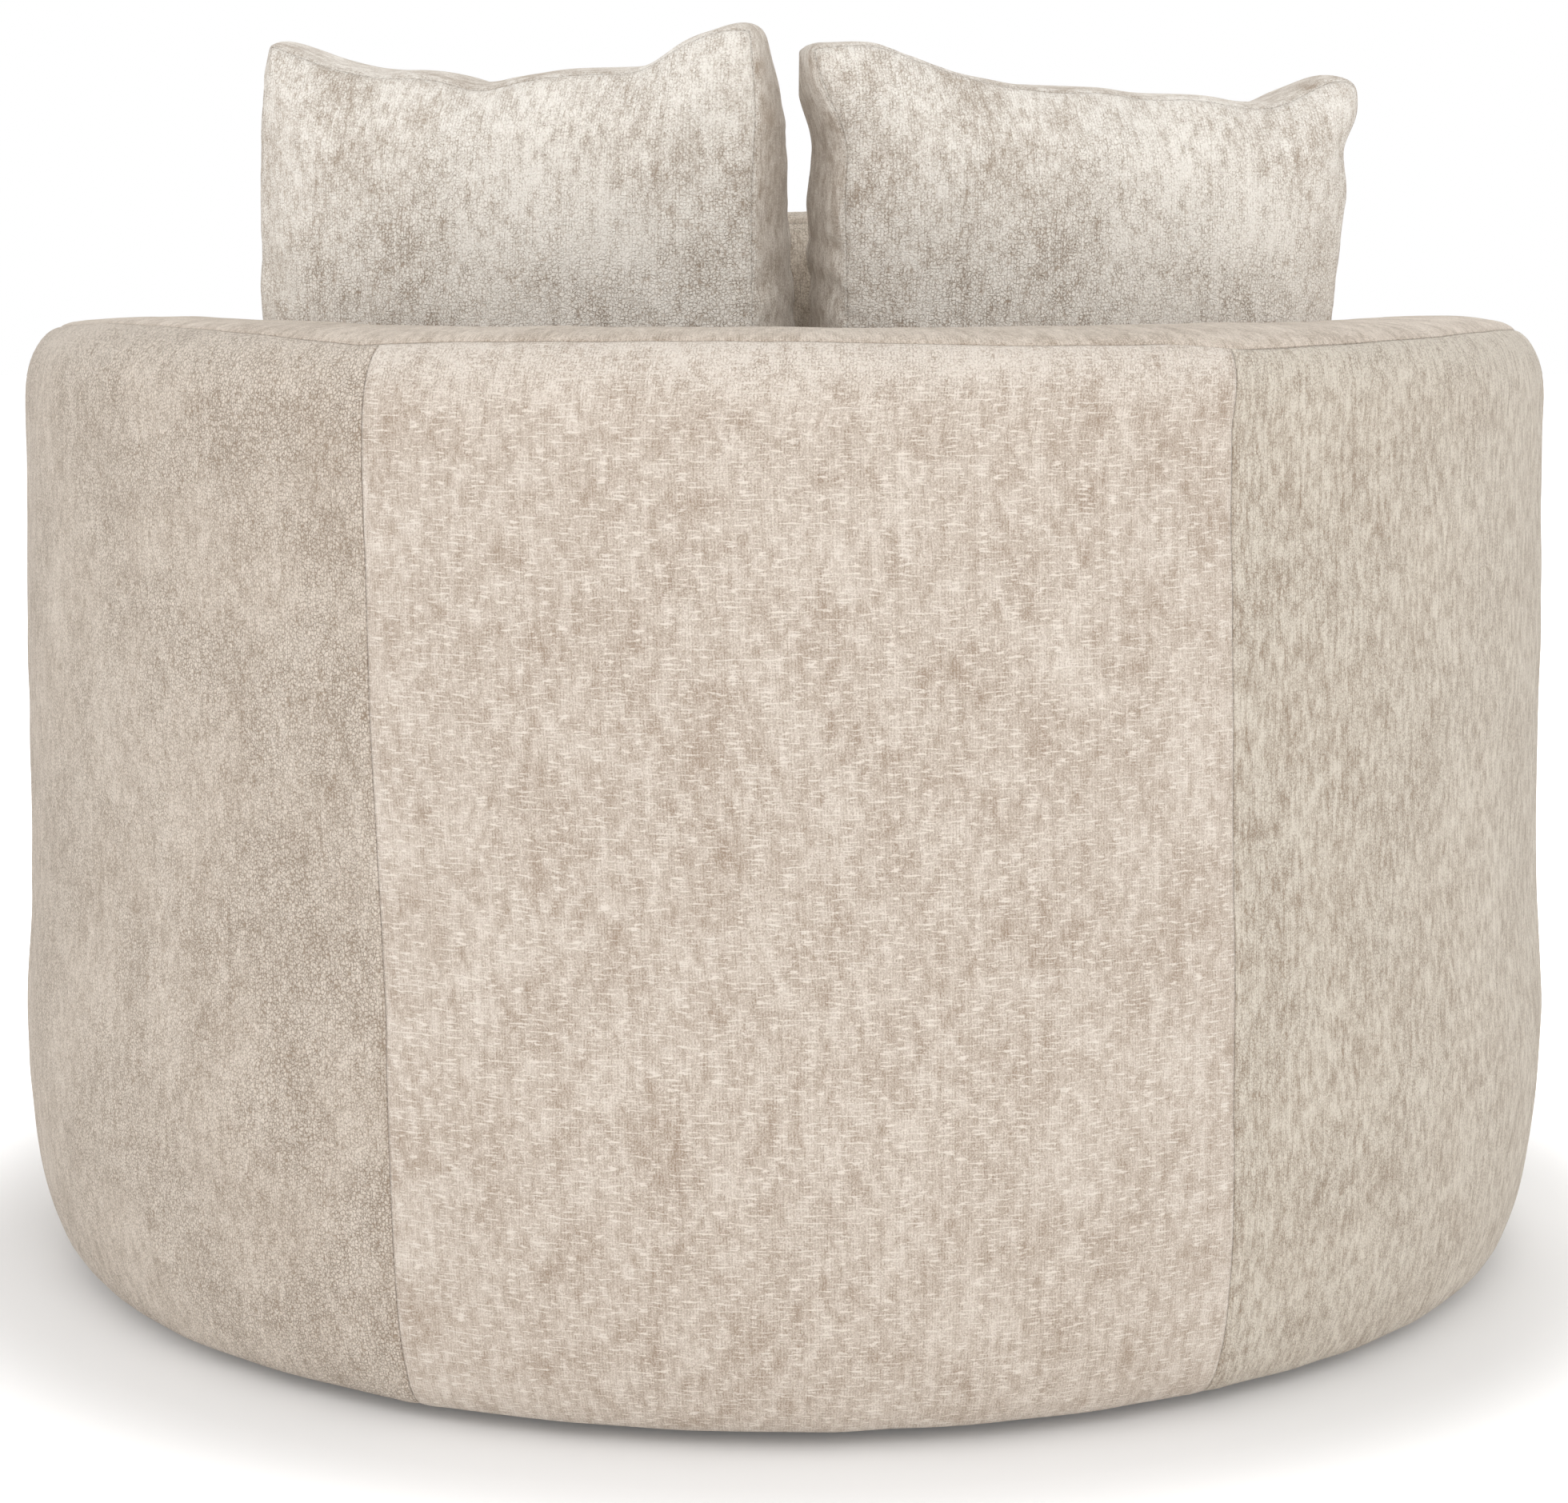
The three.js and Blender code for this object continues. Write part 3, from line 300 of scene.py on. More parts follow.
def make_chenille_group():
    group, entry, result = new_group(
        "chenille pile",
        {"Plan": None, "Seam": 1.0, "Along": 0.0, "Pebble": 0.4, "Dash": 0.5, "Streak": 0.3, "Mottle": 1.0,
         "Brush": 0.5, "Stitch": 1.0, "Raise and painted light": 0.0, "Pale": (1, 1, 1, 1), "Tan": (1, 1, 1, 1)},
        {"Color": "NodeSocketColor", "Height": "NodeSocketFloat"})
    plan = entry["Plan"]

    def pattern(width, height, *settings):
        return speckle(scaled(plan, width, height, 1.0), *settings)

    slanted = scaled(scaled(plan, 1.0, 1.0, 1.0, 0.5), 1.0, 0.4, 1.0)
    brush = speckle(slanted, 7.0, 3.0, 0.6)
    drift = pattern(1.0, 0.6, 24.0, 3.0, 0.6)
    patch = pattern(1.0, 0.5, 110.0, 3.0, 0.8)
    streak = pattern(1.0, 0.2, 260.0, 2.0, 0.7)
    dash = fade(pattern(0.16, 1.0, 600.0, 1.0), 0.56, 0.68, 0.35, 1.5)
    fuzz = pattern(1.0, 0.8, 850.0, 1.0, 0.9)
    down = speckle(plan, 1900.0, 1.0)

    wander = times(pattern(1.0, 0.5, 60.0), 1.6)
    turn = maths("ADD", times(axes(plan)["X"], 1 / rib_pitch), wander)
    groove = fade(wave(turn, 1.0), 0.0, 0.6, 1.0, 0.0)

    stand = fade(speckle(plan, 9.0, 2.0), 0.40, 0.60, 0.65, 1.0)
    pebble = times(entry["Pebble"], stand)
    pebble = maths("ADD", pebble, times(entry["Raise and painted light"], 0.35))
    bend = add_node(group, "TexNoise", Vector=plan, Scale=520.0, Detail=1.0)
    bent = add_node(group, "VectorMath", operation="MULTIPLY_ADD")
    steps = (bend.outputs["Color"], (tuft_bend, tuft_bend, 0.0), scaled(plan, 1.0, 0.85, 1.0))
    for number, value in enumerate(steps):
        feed(bent.inputs[number], value)
    cell = add_node(group, "TexVoronoi", feature="DISTANCE_TO_EDGE", Vector=bent.outputs[0],
                    Scale=tuft_scale, Randomness=0.85)
    gap = fade(cell.outputs["Distance"], 0.0, 0.17, 0.75, -0.25)
    between = times(gap, pebble)

    tone = add_up(0.58, (brush, entry["Brush"]), (drift, 0.75), (patch, entry["Mottle"]), (fuzz, 1.3),
                  (down, 1.2), (streak, entry["Streak"]), (dash, entry["Dash"]), (groove, -0.2))
    # The standing-pile input also makes the tone paler where it is above nought and darker where it is below:
    # painted light and shade, set by height and on gussets in make_chenille.
    tone = maths("ADD", tone, times(entry["Raise and painted light"], 0.32))
    tone = maths("SUBTRACT", tone, between, clamp=True)
    pile = mixed(tone, entry["Tan"], entry["Pale"])

    crease = fade(entry["Seam"], 0.0002, 0.0010, 1.0, 0.0)
    thread = fade(wave(entry["Along"], stitch_pitch), 0.2, 0.9, 0.85, 0.3)
    hole = times(times(crease, entry["Stitch"]), thread)
    feed(result["Color"], mixed(hole, pile, colour(112, 97, 83)))

    height = add_up(0.0, (patch, 0.4), (fuzz, 0.6), (down, 0.4))
    for mask, weight in ((groove, -0.18), (between, -1.0), (dash, 0.25), (crease, -0.5)):
        height = maths("ADD", height, times(mask, weight))
    feed(result["Height"], height)
    return group


chenille_group = make_chenille_group()


def make_chenille(name, pale, tan, tufts_and_painted_light_by_height=None, painted_gusset_shade=0.0, **lay):
    """The heights tuple gives two heights and a value at each: how far the pile stands up in tufts
    there, and how much paler (above nought) or darker it is painted, painted light and shade by
    height. The gusset number paints the gusset cloth darker: painted shade."""
    material, tree, shader = start_material(name)

    def measured(title):
        return add_node(tree, "Attribute", attribute_name=title).outputs["Fac"]

    plan = add_node(tree, "UVMap", uv_map="plan").outputs["UV"]
    pile = add_node(tree, "Group", node_tree=chenille_group, Plan=plan, Seam=measured("seam"),
                    Along=measured("along"), Pale=pale, Tan=tan, **lay)
    if tufts_and_painted_light_by_height:
        # Paler or darker by height is painted light and shade, and the darker gussets are painted shade.
        tufts_and_painted_light = fade(axes(on_piece(tree))["Z"], *tufts_and_painted_light_by_height)
        flat = times(measured("band"), painted_gusset_shade)
        feed(pile.inputs["Raise and painted light"], maths("SUBTRACT", tufts_and_painted_light, flat))
    coat(shader, pile.outputs["Color"], 0.85, pile.outputs["Height"], 0.0011, 0.75)
    for title, value in (("Specular IOR Level", 0.25), ("Sheen Weight", 0.5), ("Sheen Roughness", 0.45),
                         ("Sheen Tint", colour(250, 245, 236))):
        feed(shader.inputs[title], value)
    return material


pale_pile, tan_pile = colour(236, 223, 209), colour(163, 144, 125)
# From 0.705 m up to 0.756 m, where the wall rounds over under the rim, the side panels' pile is painted
# paler, a painted highlight, and stands up in more tufts.
tufts_and_painted_highlight_under_rim = (0.705, 0.756, 0.0, 1.0)
# The back panel's and arm facings' pile is painted paler above 0.756 m, a painted highlight under the rim,
# and is a little darker and less tufted below 0.705 m.
ribbed_cloth = make_chenille(
    "chenille with its ribs showing", colour(243, 232, 220), colour(170, 149, 130),
    (0.705, 0.756, -0.25, 0.9), Pebble=0.2, Dash=0.5, Streak=0.5, Mottle=1.5, Brush=0.3, Stitch=0.45)
tufted_cloth = make_chenille(
    "chenille with its tufts standing", pale_pile, tan_pile, tufts_and_painted_highlight_under_rim,
    Pebble=0.75, Dash=0.0, Streak=0.5, Mottle=1.5, Brush=0.3, Stitch=0.45)
streaked_cloth = make_chenille(
    "chenille brushed in streaks", colour(230, 220, 205), tan_pile, tufts_and_painted_highlight_under_rim,
    Pebble=0.4, Dash=0.05, Streak=1.8, Mottle=1.8, Brush=0.3, Stitch=0.45)
band_cloth = make_chenille(
    "chenille on the rim", pale_pile, tan_pile,
    Pebble=0.3, Dash=0.1, Streak=0.8, Mottle=1.7, Brush=0.6, Stitch=0.6)
# The back pillows' chenille is the tub's cloth painted paler, painted light for the light they lack beside
# the rim. Below 0.74 to 0.93 m it is painted paler still and stands in tufts, and its gussets are painted
# darker, painted shade between the pillows.
pillow_cloth = make_chenille(
    "chenille on the back pillows", colour(255, 249, 240), colour(176, 159, 142),
    (0.74, 0.93, 0.95, 0.1), 1.1, Pebble=0.4, Dash=0.1, Streak=0.8, Mottle=2.0, Brush=1.3, Stitch=0.5)
cushion_cloth = make_chenille(
    "chenille on the seat", colour(246, 236, 223), colour(169, 151, 133),
    Pebble=0.45, Dash=0.1, Streak=0.6, Mottle=1.6, Brush=0.9, Stitch=0.5)


# Tub wall. The wall is drawn once as a section at any angle: a bulging outer side with a slight
# waist, a rounded top, and a straight inner side. Each cover is sewn from flat cloth to fit it.
rim_height = 0.766
hem_height = 0.012
hem_turn = 0.034
deck_height = 0.304
deck_gap = 0.0003
body_heights = (0.0, 0.012, 0.03, 0.06, 0.10, 0.16, 0.22, 0.30, 0.38, 0.50, 0.62, 0.70, 0.90)
body_radii = (0.5937, 0.5955, 0.608, 0.618, 0.624, 0.6285, 0.629, 0.622, 0.619, 0.619, 0.615, 0.614, 0.614)
top_radius = 0.614
well_radius = 0.483
crown_radius = 0.530
shoulder_drop = 0.083
shoulder_power = 2 / 3.4
seam_angle = math.radians(28.6)
rim_seam = 0.62
rim_seam_degrees = (-90, -60, -45, -34, -30, -24, -16, -4, 12, 24, 30, 38, 48, 62, 90)
rim_seam_shares = (0.62, 0.58, 0.56, 0.51, 0.50, 0.585, 0.60, 0.67, 0.68, 0.635, 0.585, 0.67, 0.745,
                   0.76, 0.62)
arm_end = math.radians(132)
drop_start = math.radians(55)
arm_drop = 0.090
arm_round = 0.070
outer_draw, inner_draw, crown_draw = 0.050, 0.034, 0.040
cloth_thickness = 0.003
section_steps = 160
fine_rows = np.array([0.0, 0.0008, 0.0018, 0.003, 0.0045, 0.0065, 0.009, 0.0125])
fine_reach = 0.015


def eased_radii():
    """The body's radius at close steps of height, softened above the hem."""
    heights = np.linspace(-0.1, 0.9, 1001)
    radii = np.interp(heights, body_heights, body_radii)
    weights = np.exp(-0.5 * (np.arange(-40, 41) / 13) ** 2)
    eased = np.convolve(np.pad(radii, 40, "edge"), weights / weights.sum(), "valid")
    near_hem = np.clip((heights - hem_height) / 0.05, 0, 1)
    return heights, radii * (1 - near_hem) + eased * near_hem


radius_table = eased_radii()


def radius_at(height):
    return np.interp(height, *radius_table)


def rim_seam_at(angle):
    """How far up the rounded top the outer seam runs: it dips where the upright seams meet it."""
    return np.interp(math.degrees(angle), rim_seam_degrees, rim_seam_shares)


def shoulder_at(angle):
    """The height where the top starts to round. It drops along the arms."""
    share = max(0.0, (abs(angle) - drop_start) / (arm_end - drop_start))
    return rim_height - arm_drop * share ** 2.2 - shoulder_drop


def arm_round_at(angle):
    ahead = (arm_end - abs(angle)) * top_radius
    share = min(max(1 - ahead / arm_round, 0.0), 1.0)
    return 1 - math.sqrt(1 - share * share)


def side_points(angle, side, low, high, steps=section_steps):
    """The wall's outer (1) or inner (-1) face between two heights, as [radius, height]."""
    height = np.linspace(low, high, steps)
    share = np.clip((height - deck_height) / 0.06, 0, 1)
    bend = arm_round_at(angle) * (share * share * (3 - 2 * share))
    radius = radius_at(height) - outer_draw * bend if side > 0 else well_radius + inner_draw * bend
    return np.stack([radius, height], 1)


def top_points(angle, side, start, end):
    """The rounded top from share 0 at the shoulder to share 1 at the crown."""
    shoulder = shoulder_at(angle)
    foot = side_points(angle, side, shoulder - 0.001, shoulder, 2)[1, 0]
    turn = np.linspace(start, end, section_steps) * math.pi / 2
    rise = shoulder_drop - crown_draw * arm_round_at(angle)
    radius = crown_radius + (foot - crown_radius) * np.abs(np.cos(turn)) ** shoulder_power
    return np.stack([radius, shoulder + rise * np.sin(turn) ** shoulder_power], 1)


def evenly(points, shares):
    """The points of a line at shares of its length, and that length."""
    lengths = np.concatenate([[0], np.cumsum(np.linalg.norm(np.diff(points, axis=0), axis=1))])
    places = np.asarray(shares) * lengths[-1]
    columns = [np.interp(places, lengths, points[:, k]) for k in range(points.shape[1])]
    return np.stack(columns, 1), lengths[-1]


def close_rows(length, spacing, fine_start=True, fine_end=True):
    """Shares of a length at an even spacing, with closer rows at a sewn edge."""
    rows = np.linspace(0, length, max(2, round(length / spacing) + 1))
    if fine_start:
        rows = np.concatenate([rows[rows > fine_reach], fine_rows])
    if fine_end:
        rows = np.concatenate([rows[rows < length - fine_reach], length - fine_rows])
    return np.unique(rows) / length


def sewn_sink(distance):
    """How far cloth stands proud near a seam: pinched at the seam, plump just beside it."""
    pinch = -0.0009 * np.exp(-(distance / 0.0018) ** 2)
    plump = 0.0006 * np.exp(-((distance - 0.011) / 0.008) ** 2)
    return pinch + plump


def waviness(places, size, seed):
    offset = Vector((seed * 7.3, seed * 3.1, seed * 5.7))
    return np.array([noise.noise(Vector(place) / size + offset) for place in places])


def right_of(run):
    """Unit vectors to the right of a line that runs this way."""
    aside = np.stack([run[..., 1], -run[..., 0]], -1)
    return aside / np.linalg.norm(aside, axis=-1, keepdims=True)


def turned_round(line, angle):
    """Points from [radius, height] and an angle around the tub."""
    return np.stack([line[..., 0] * np.sin(angle), line[..., 0] * np.cos(angle), line[..., 1]], -1)


def grid_faces(index):
    return np.stack([index[:-1, :-1], index[:-1, 1:], index[1:, 1:], index[1:, :-1]], -1).reshape(-1, 4)


def sewn_piece(name, places, quads, plan, **marks):
    """A mesh with the cloth's plan at the corners of its faces, and marks at its points."""
    mesh = bpy.data.meshes.new(name)
    mesh.from_pydata(places.tolist(), [], quads.tolist())
    mesh.uv_layers.new(name="plan").data.foreach_set("uv", plan.ravel())
    for title, values in marks.items():
        mesh.attributes.new(title, "FLOAT", "POINT").data.foreach_set("value", values.ravel())
    piece = bpy.data.objects.new(name, mesh)
    scene.collection.objects.link(piece)
    return piece


def only_select(piece):
    bpy.ops.object.select_all(action="DESELECT")
    piece.select_set(True)
    bpy.context.view_layer.objects.active = piece


def finish_modifier(piece, kind, **settings):
    only_select(piece)
    modifier = piece.modifiers.new("made", kind)
    for key, value in settings.items():
        setattr(modifier, key, value)
    bpy.ops.object.modifier_apply(modifier=modifier.name)


def sew_cover(name, points, plan, seam, along, node, cloth):
    """A cover from rows of points that run up the piece, each row from its left to its right as
    seen from outside, with the cloth's plan and the distances to its seams."""
    quads = grid_faces(np.arange(seam.size).reshape(seam.shape))
    corners = np.stack(plan, 2).reshape(-1, 2)[quads]
    piece = sewn_piece(name, points.reshape(-1, 3), quads, corners, seam=seam, along=along)
    finish_modifier(piece, "SOLIDIFY", thickness=cloth_thickness, offset=-1.0)
    piece.data.materials.append(cloth)
    piece.data.shade_smooth()
    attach(piece, "shell")
    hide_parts(node)


def wrap_cover(name, angles, section, shares, node, seams, cloth, wander=None):
    """Cloth wrapped on the wall: one section line at each angle, bulged along its normal."""
    columns = [evenly(section(angle), shares) for angle in angles]
    line = np.stack([column[0] for column in columns], 1)
    lengths = np.array([column[1] for column in columns])
    angle = np.asarray(angles)[None, :]
    up = shares[:, None] * lengths[None, :]
    across = (angle - np.mean(angle)) * top_radius + 0 * up
    seam, along = seams(angle + 0 * up, up, lengths[None, :] + 0 * up)
    if wander:
        angle = angle + wander(angle, line[..., 1])
    spots = turned_round(line, angle).reshape(-1, 3)
    waves = 0.0018 * waviness(spots, 0.15, 1) + 0.0008 * waviness(spots, 0.045, 2)
    lift = sewn_sink(seam) + waves.reshape(seam.shape)
    line = line + right_of(np.gradient(line, axis=0)) * lift[..., None]
    sew_cover(name, turned_round(line, angle), (across, up), seam, along, node, cloth)


# Outer covers. Three panels of chenille are sewn together at the back corners, pulled over the
# padding, and turned under the hem, where they are stapled to the bottom ring.
cloth_spacing = 0.006
left_seam_wander = ((0.10, 0.20, 0.34, 0.52, 0.67, 0.757), (-2.1, -2.1, -1.4, -0.6, -0.1, -0.2))
right_seam_wander = ((0.06, 0.22, 0.31, 0.50, 0.70, 0.757), (-0.7, -0.3, -0.7, -0.3, 0.0, -1.0))


def wander_of_seams(angle, height):
    """The two upright seams wander a few degrees with the height, and the cloth beside them
    follows."""
    left, right = (np.radians(np.interp(height, *way)) for way in (left_seam_wander, right_seam_wander))
    near_left = np.interp(angle, (-seam_angle, seam_angle, 2.4 * seam_angle), (0, 1, 0))
    near_right = np.interp(angle, (-2.4 * seam_angle, -seam_angle, seam_angle), (0, 1, 0))
    return left * near_left + right * near_right


def hemmed_side(angle, top):
    """The outer side up to a height, with its cloth turned in under the hem."""
    fold = radius_at(hem_height)
    turned = [[fold - hem_turn, hem_height + 0.0008], [fold - 0.006, hem_height]]
    return np.concatenate([turned, side_points(angle, 1, hem_height + 0.004, top)])


def outer_section(angle):
    rounded = top_points(angle, 1, 0.0, rim_seam_at(angle))
    return np.concatenate([hemmed_side(angle, shoulder_at(angle)), rounded])


def outer_cover(name, node, start, end, cloth, section=outer_section):
    angles = start + (end - start) * close_rows((end - start) * top_radius, cloth_spacing)

    def seams(angle, up, length):
        sides = np.minimum(np.abs(angle - start), np.abs(angle - end)) * top_radius
        near = np.minimum(sides, length - up)
        return near, np.where(near == length - up, angle * top_radius, up)

    wrap_cover(name, angles[::-1], section, close_rows(0.8, cloth_spacing, False), node, seams, cloth,
               wander_of_seams)


outer_cover("back_panel", "outer_cover_back", -seam_angle, seam_angle, ribbed_cloth)
outer_cover("left_panel", "outer_cover_left", seam_angle, arm_end, tufted_cloth)
outer_cover("right_panel", "outer_cover_right", -arm_end, -seam_angle, streaked_cloth)


# Rim band. One long strip of chenille is sewn between the outer and inner covers and pulled over
# the foam that rounds the top of the wall.
def band_section(angle):
    outer = top_points(angle, 1, rim_seam_at(angle), 1.0)
    return np.concatenate([outer, top_points(angle, -1, 1.0, rim_seam)[1:]])


def band_seams(angle, up, length):
    return np.minimum(up, length - up), angle * crown_radius


def all_round(radius):
    """Angles from arm front to arm front, closer together where the arm fronts turn."""
    return arm_end * (1 - 2 * close_rows(2 * arm_end * radius, cloth_spacing))


wrap_cover("rim_strip", all_round(top_radius), band_section, close_rows(0.11, 0.005), "rim_band",
           band_seams, band_cloth)


# Inner cover. The inside of the tub is one wrap of chenille, pulled down behind the seat and
# stapled to the seat ring.
wrap_foot = 0.2825


def inside_section(angle):
    side = side_points(angle, -1, shoulder_at(angle), wrap_foot)
    return np.concatenate([top_points(angle, -1, rim_seam, 0.0), side[1:]])


def inside_seams(angle, up, length):
    near = np.minimum(up, (arm_end - np.abs(angle)) * well_radius)
    return near, np.where(near == up, angle * well_radius, up)


wrap_cover("inside_wrap", all_round(well_radius), inside_section,
           close_rows(0.47, cloth_spacing, True, False), "inner_cover", inside_seams, band_cloth)


# Arm facings. A narrow panel of chenille is sewn into the opening between the covers at the front
# of each arm. It stands on the deck and ends in a round under the rim band.
facing_height = 0.33
facing_width = 0.047
facing_reach = 0.97
facing_edge = cloth_thickness + 0.0004
facing_puff = 0.004


def facing_side(side):
    """One long edge of a facing, inside the cover it is sewn to, as [radius, height]."""
    straight = side_points(arm_end, side, deck_height + deck_gap, shoulder_at(arm_end))
    face = np.concatenate([straight, top_points(arm_end, side, 0.0, facing_reach)[1:]])
    return face - side * facing_edge * right_of(np.gradient(face, axis=0))


def arm_facing(name, node, side):
    shares = close_rows(facing_height, cloth_spacing, False)
    inner, outer = (evenly(facing_side(way), shares)[0] for way in (-1, 1))
    spread = close_rows(facing_width, cloth_spacing)[::-side]
    line = inner[:, None] + (outer - inner)[:, None] * spread[None, :, None]
    width = np.linalg.norm(outer - inner, axis=1)[:, None]
    up = (shares * facing_height)[:, None] + 0 * spread
    seam = np.minimum(np.minimum(spread, 1 - spread) * width, facing_height - up)
    puff = facing_puff * (1 - np.exp(-seam / 0.012)) + sewn_sink(seam)
    points = turned_round(line, side * (arm_end + puff / line[..., 0]))
    sew_cover(name, points, (spread * width, up), seam, up, node, ribbed_cloth)


arm_facing("left_arm_facing", "arm_facing_left", 1)
arm_facing("right_arm_facing", "arm_facing_right", -1)


# Front border. The same cloth is pulled over the foam on the front rail, from arm to arm below
# the seat cushion, and stapled on the deck and under the hem.
border_round = 0.009


def border_section(angle):
    top = deck_height - border_round
    turn = np.linspace(0, 0.5 * math.pi, 12)[1:]
    edge = radius_at(top) - border_round
    rounded = np.stack([edge + border_round * np.cos(turn), top + border_round * np.sin(turn)], 1)
    return np.concatenate([hemmed_side(angle, top), rounded])


def reach_of(vector):
    made = add_node(vector.id_data, "VectorMath", operation="LENGTH", Vector=vector)
    return made.outputs["Value"]


def face_deck():
    """A strip of the same chenille is sewn along the front edge of the platform cloth."""
    material = platform_cloth.copy()
    material.name = "platform cloth with a chenille edge"
    tree = material.node_tree
    base = tree.nodes["Principled BSDF"].inputs["Base Color"]
    place = tree.nodes["Texture Coordinate"].outputs["Object"]
    pile = add_node(tree, "Group", node_tree=chenille_group, Plan=place, Pale=pale_pile,
                    Tan=tan_pile, Pebble=0.85, Dash=0.0)
    outside = fade(reach_of(scaled(place, 1.0, 1.0, 0.0)), 0.5555, 0.5560)
    ahead = fade(axes(place)["Y"], -0.3505, -0.3500, 1.0, 0.0)
    strip = times(outside, ahead)
    feed(base, mixed(strip, base.links[0].from_socket, pile.outputs["Color"]))
    finish_nodes(["deck_cover"], material)


face_deck()
outer_cover("front_panel", "front_border", arm_end, 2 * math.pi - arm_end, tufted_cloth, border_section)


# Seat cushion. A boxed cushion of foam, cut to the shape of the well with a neck between the arm
# fronts. Its chenille cover has a top, a bottom and one gusset that runs all round.
seat_depth = 0.160
seat_bottom = deck_height + deck_gap
cushion_fit = 0.006
gusset_swell = 0.004
plan_apart = 3.0
settle_frames = 20


def open_curve(controls, count):
    """An even, softened line of count + 1 points through a few places."""
    line, length = evenly(np.asarray(controls, float), np.linspace(0, 1, 12 * count + 1))
    weights = np.exp(-0.5 * (np.arange(-30, 31) * length / (12 * count) / 0.012) ** 2)
    weights /= weights.sum()
    padded = np.concatenate([2 * line[0] - line[30:0:-1], line, 2 * line[-1] - line[-2:-32:-1]])
    soft = np.stack([np.convolve(padded[:, k], weights, "valid") for k in (0, 1)], 1)
    soft[0], soft[-1] = line[0], line[-1]
    return evenly(soft, np.linspace(0, 1, count + 1))[0]


def coons(bottom, right, top, left):
    """Points inside four sides: bottom and top run one way, left and right run from bottom to top."""
    s = np.linspace(0, 1, len(bottom))[None, :, None]
    t = np.linspace(0, 1, len(left))[:, None, None]
    ruled = (1 - t) * bottom[None] + t * top[None] + (1 - s) * left[:, None] + s * right[:, None]
    corners = ((1 - s) * (1 - t) * bottom[0] + s * (1 - t) * bottom[-1]
               + (1 - s) * t * top[0] + s * t * top[-1])
    return ruled - corners


def outward_faces(piece):
    form = bmesh.new()
    form.from_mesh(piece.data)
    bmesh.ops.recalc_face_normals(form, faces=form.faces)
    form.to_mesh(piece.data)
    form.free()


def boxed_cushion(name, sides, half_depth, crown, gusset_rows):
    """A cushion in plan: two faces inside four sides, and a gusset between them. half_depth gives
    each seam's distance from the middle plane, and crown a face's height over its seams and how
    far in it rises."""
    face = coons(*sides)
    inside = face[1:-1, 1:-1]
    for _ in range(40):
        inside += 0.5 * ((face[2:, 1:-1] + face[:-2, 1:-1] + face[1:-1, 2:] + face[1:-1, :-2]) / 4 - inside)
    index = np.arange(face[..., 0].size).reshape(face.shape[:2])
    edge = np.concatenate([index[0, :-1], index[:-1, -1], index[-1, :0:-1], index[:0:-1, 0]])
    flat = face.reshape(-1, 2)
    rim = flat[edge]
    run = np.concatenate([[0], np.cumsum(np.linalg.norm(np.roll(rim, -1, 0) - rim, axis=1))])
    apart = np.linalg.norm(flat[:, None] - rim[None], axis=2)
    near, nearest = apart.min(1), apart.argmin(1)
    depth = half_depth(flat)
    height = depth + crown[0] * (1 - np.exp(-near / crown[1]))
    count = len(flat)
    places = [np.column_stack([flat, height]), np.column_stack([flat, -height])]
    seam, along, band = [near, near], [run[nearest]] * 2, [np.zeros(count)] * 2
    outward = right_of(np.roll(rim, -1, 0) - np.roll(rim, 1, 0))
    levels = np.linspace(1, -1, gusset_rows + 1)
    rings = [edge]
    for number, level in enumerate(levels[1:-1]):
        swell = gusset_swell * (1 - level * level)
        places.append(np.column_stack([rim + outward * swell, depth[edge] * level]))
        seam.append(depth[edge] * (1 - abs(level)))
        along.append(run[:-1])
        band.append(np.ones(len(edge)))
        rings.append(2 * count + number * len(edge) + np.arange(len(edge)))
    rings.append(edge + count)
    quads = [grid_faces(index)]
    quads.append(quads[0][:, ::-1] + count)
    plans = [flat[quads[0]], flat[quads[1] - count] + (plan_apart, 0.0)]
    through = np.mean(depth[edge]) * levels - plan_apart
    for ring, (upper, lower) in enumerate(zip(rings[:-1], rings[1:])):
        quads.append(np.stack([lower, np.roll(lower, -1), np.roll(upper, -1), upper], 1))
        corners = ((1, run[:-1]), (1, run[1:]), (0, run[1:]), (0, run[:-1]))
        plans.append(np.stack([np.stack([np.full(len(edge), through[ring + k]), way], 1)
                               for k, way in corners], 1))
    piece = sewn_piece(name, np.concatenate(places), np.concatenate(quads), np.concatenate(plans),
                       seam=np.concatenate(seam), along=np.concatenate(along), band=np.concatenate(band))
    outward_faces(piece)
    return piece


def read_values(piece, title):
    values = np.empty(len(piece.data.vertices))
    piece.data.attributes[title].data.foreach_get("value", values)
    return values


def read_places(mesh, title="co"):
    places = np.empty(len(mesh.vertices) * 3)
    mesh.vertices.foreach_get(title, places)
    return places.reshape(-1, 3)


def write_places(piece, places):
    piece.data.vertices.foreach_set("co", np.asarray(places).ravel())
    piece.data.update()


def fill_out(piece, pressure, cap, hold):
    """The stuffing swells the cover: cloth under pressure, with no point moved past the cap. Its
    outline, which the seams hold, keeps to its cut: only a share of each move there counts."""
    only_select(piece)
    before = read_places(piece.data)
    stuffing = piece.modifiers.new("stuffing", "CLOTH")
    for key, value in (("quality", 5), ("mass", 0.3), ("tension_stiffness", 20),
                       ("compression_stiffness", 20), ("shear_stiffness", 8), ("bending_stiffness", 0.8),
                       ("air_damping", 4), ("use_pressure", True), ("uniform_pressure_force", pressure)):
        setattr(stuffing.settings, key, value)
    stuffing.settings.effector_weights.gravity = 0
    stuffing.collision_settings.use_collision = False
    for step in range(1, settle_frames + 1):
        scene.frame_set(step)
    swollen = read_places(piece.evaluated_get(bpy.context.evaluated_depsgraph_get()).data)
    piece.modifiers.remove(stuffing)
    scene.frame_set(1)
    move = swollen - before
    move -= move.mean(0)
    move[:, :2] *= hold
    length = np.linalg.norm(move, axis=1, keepdims=True)
    write_places(piece, before + move * np.minimum(1, cap / np.maximum(length, 1e-9)))


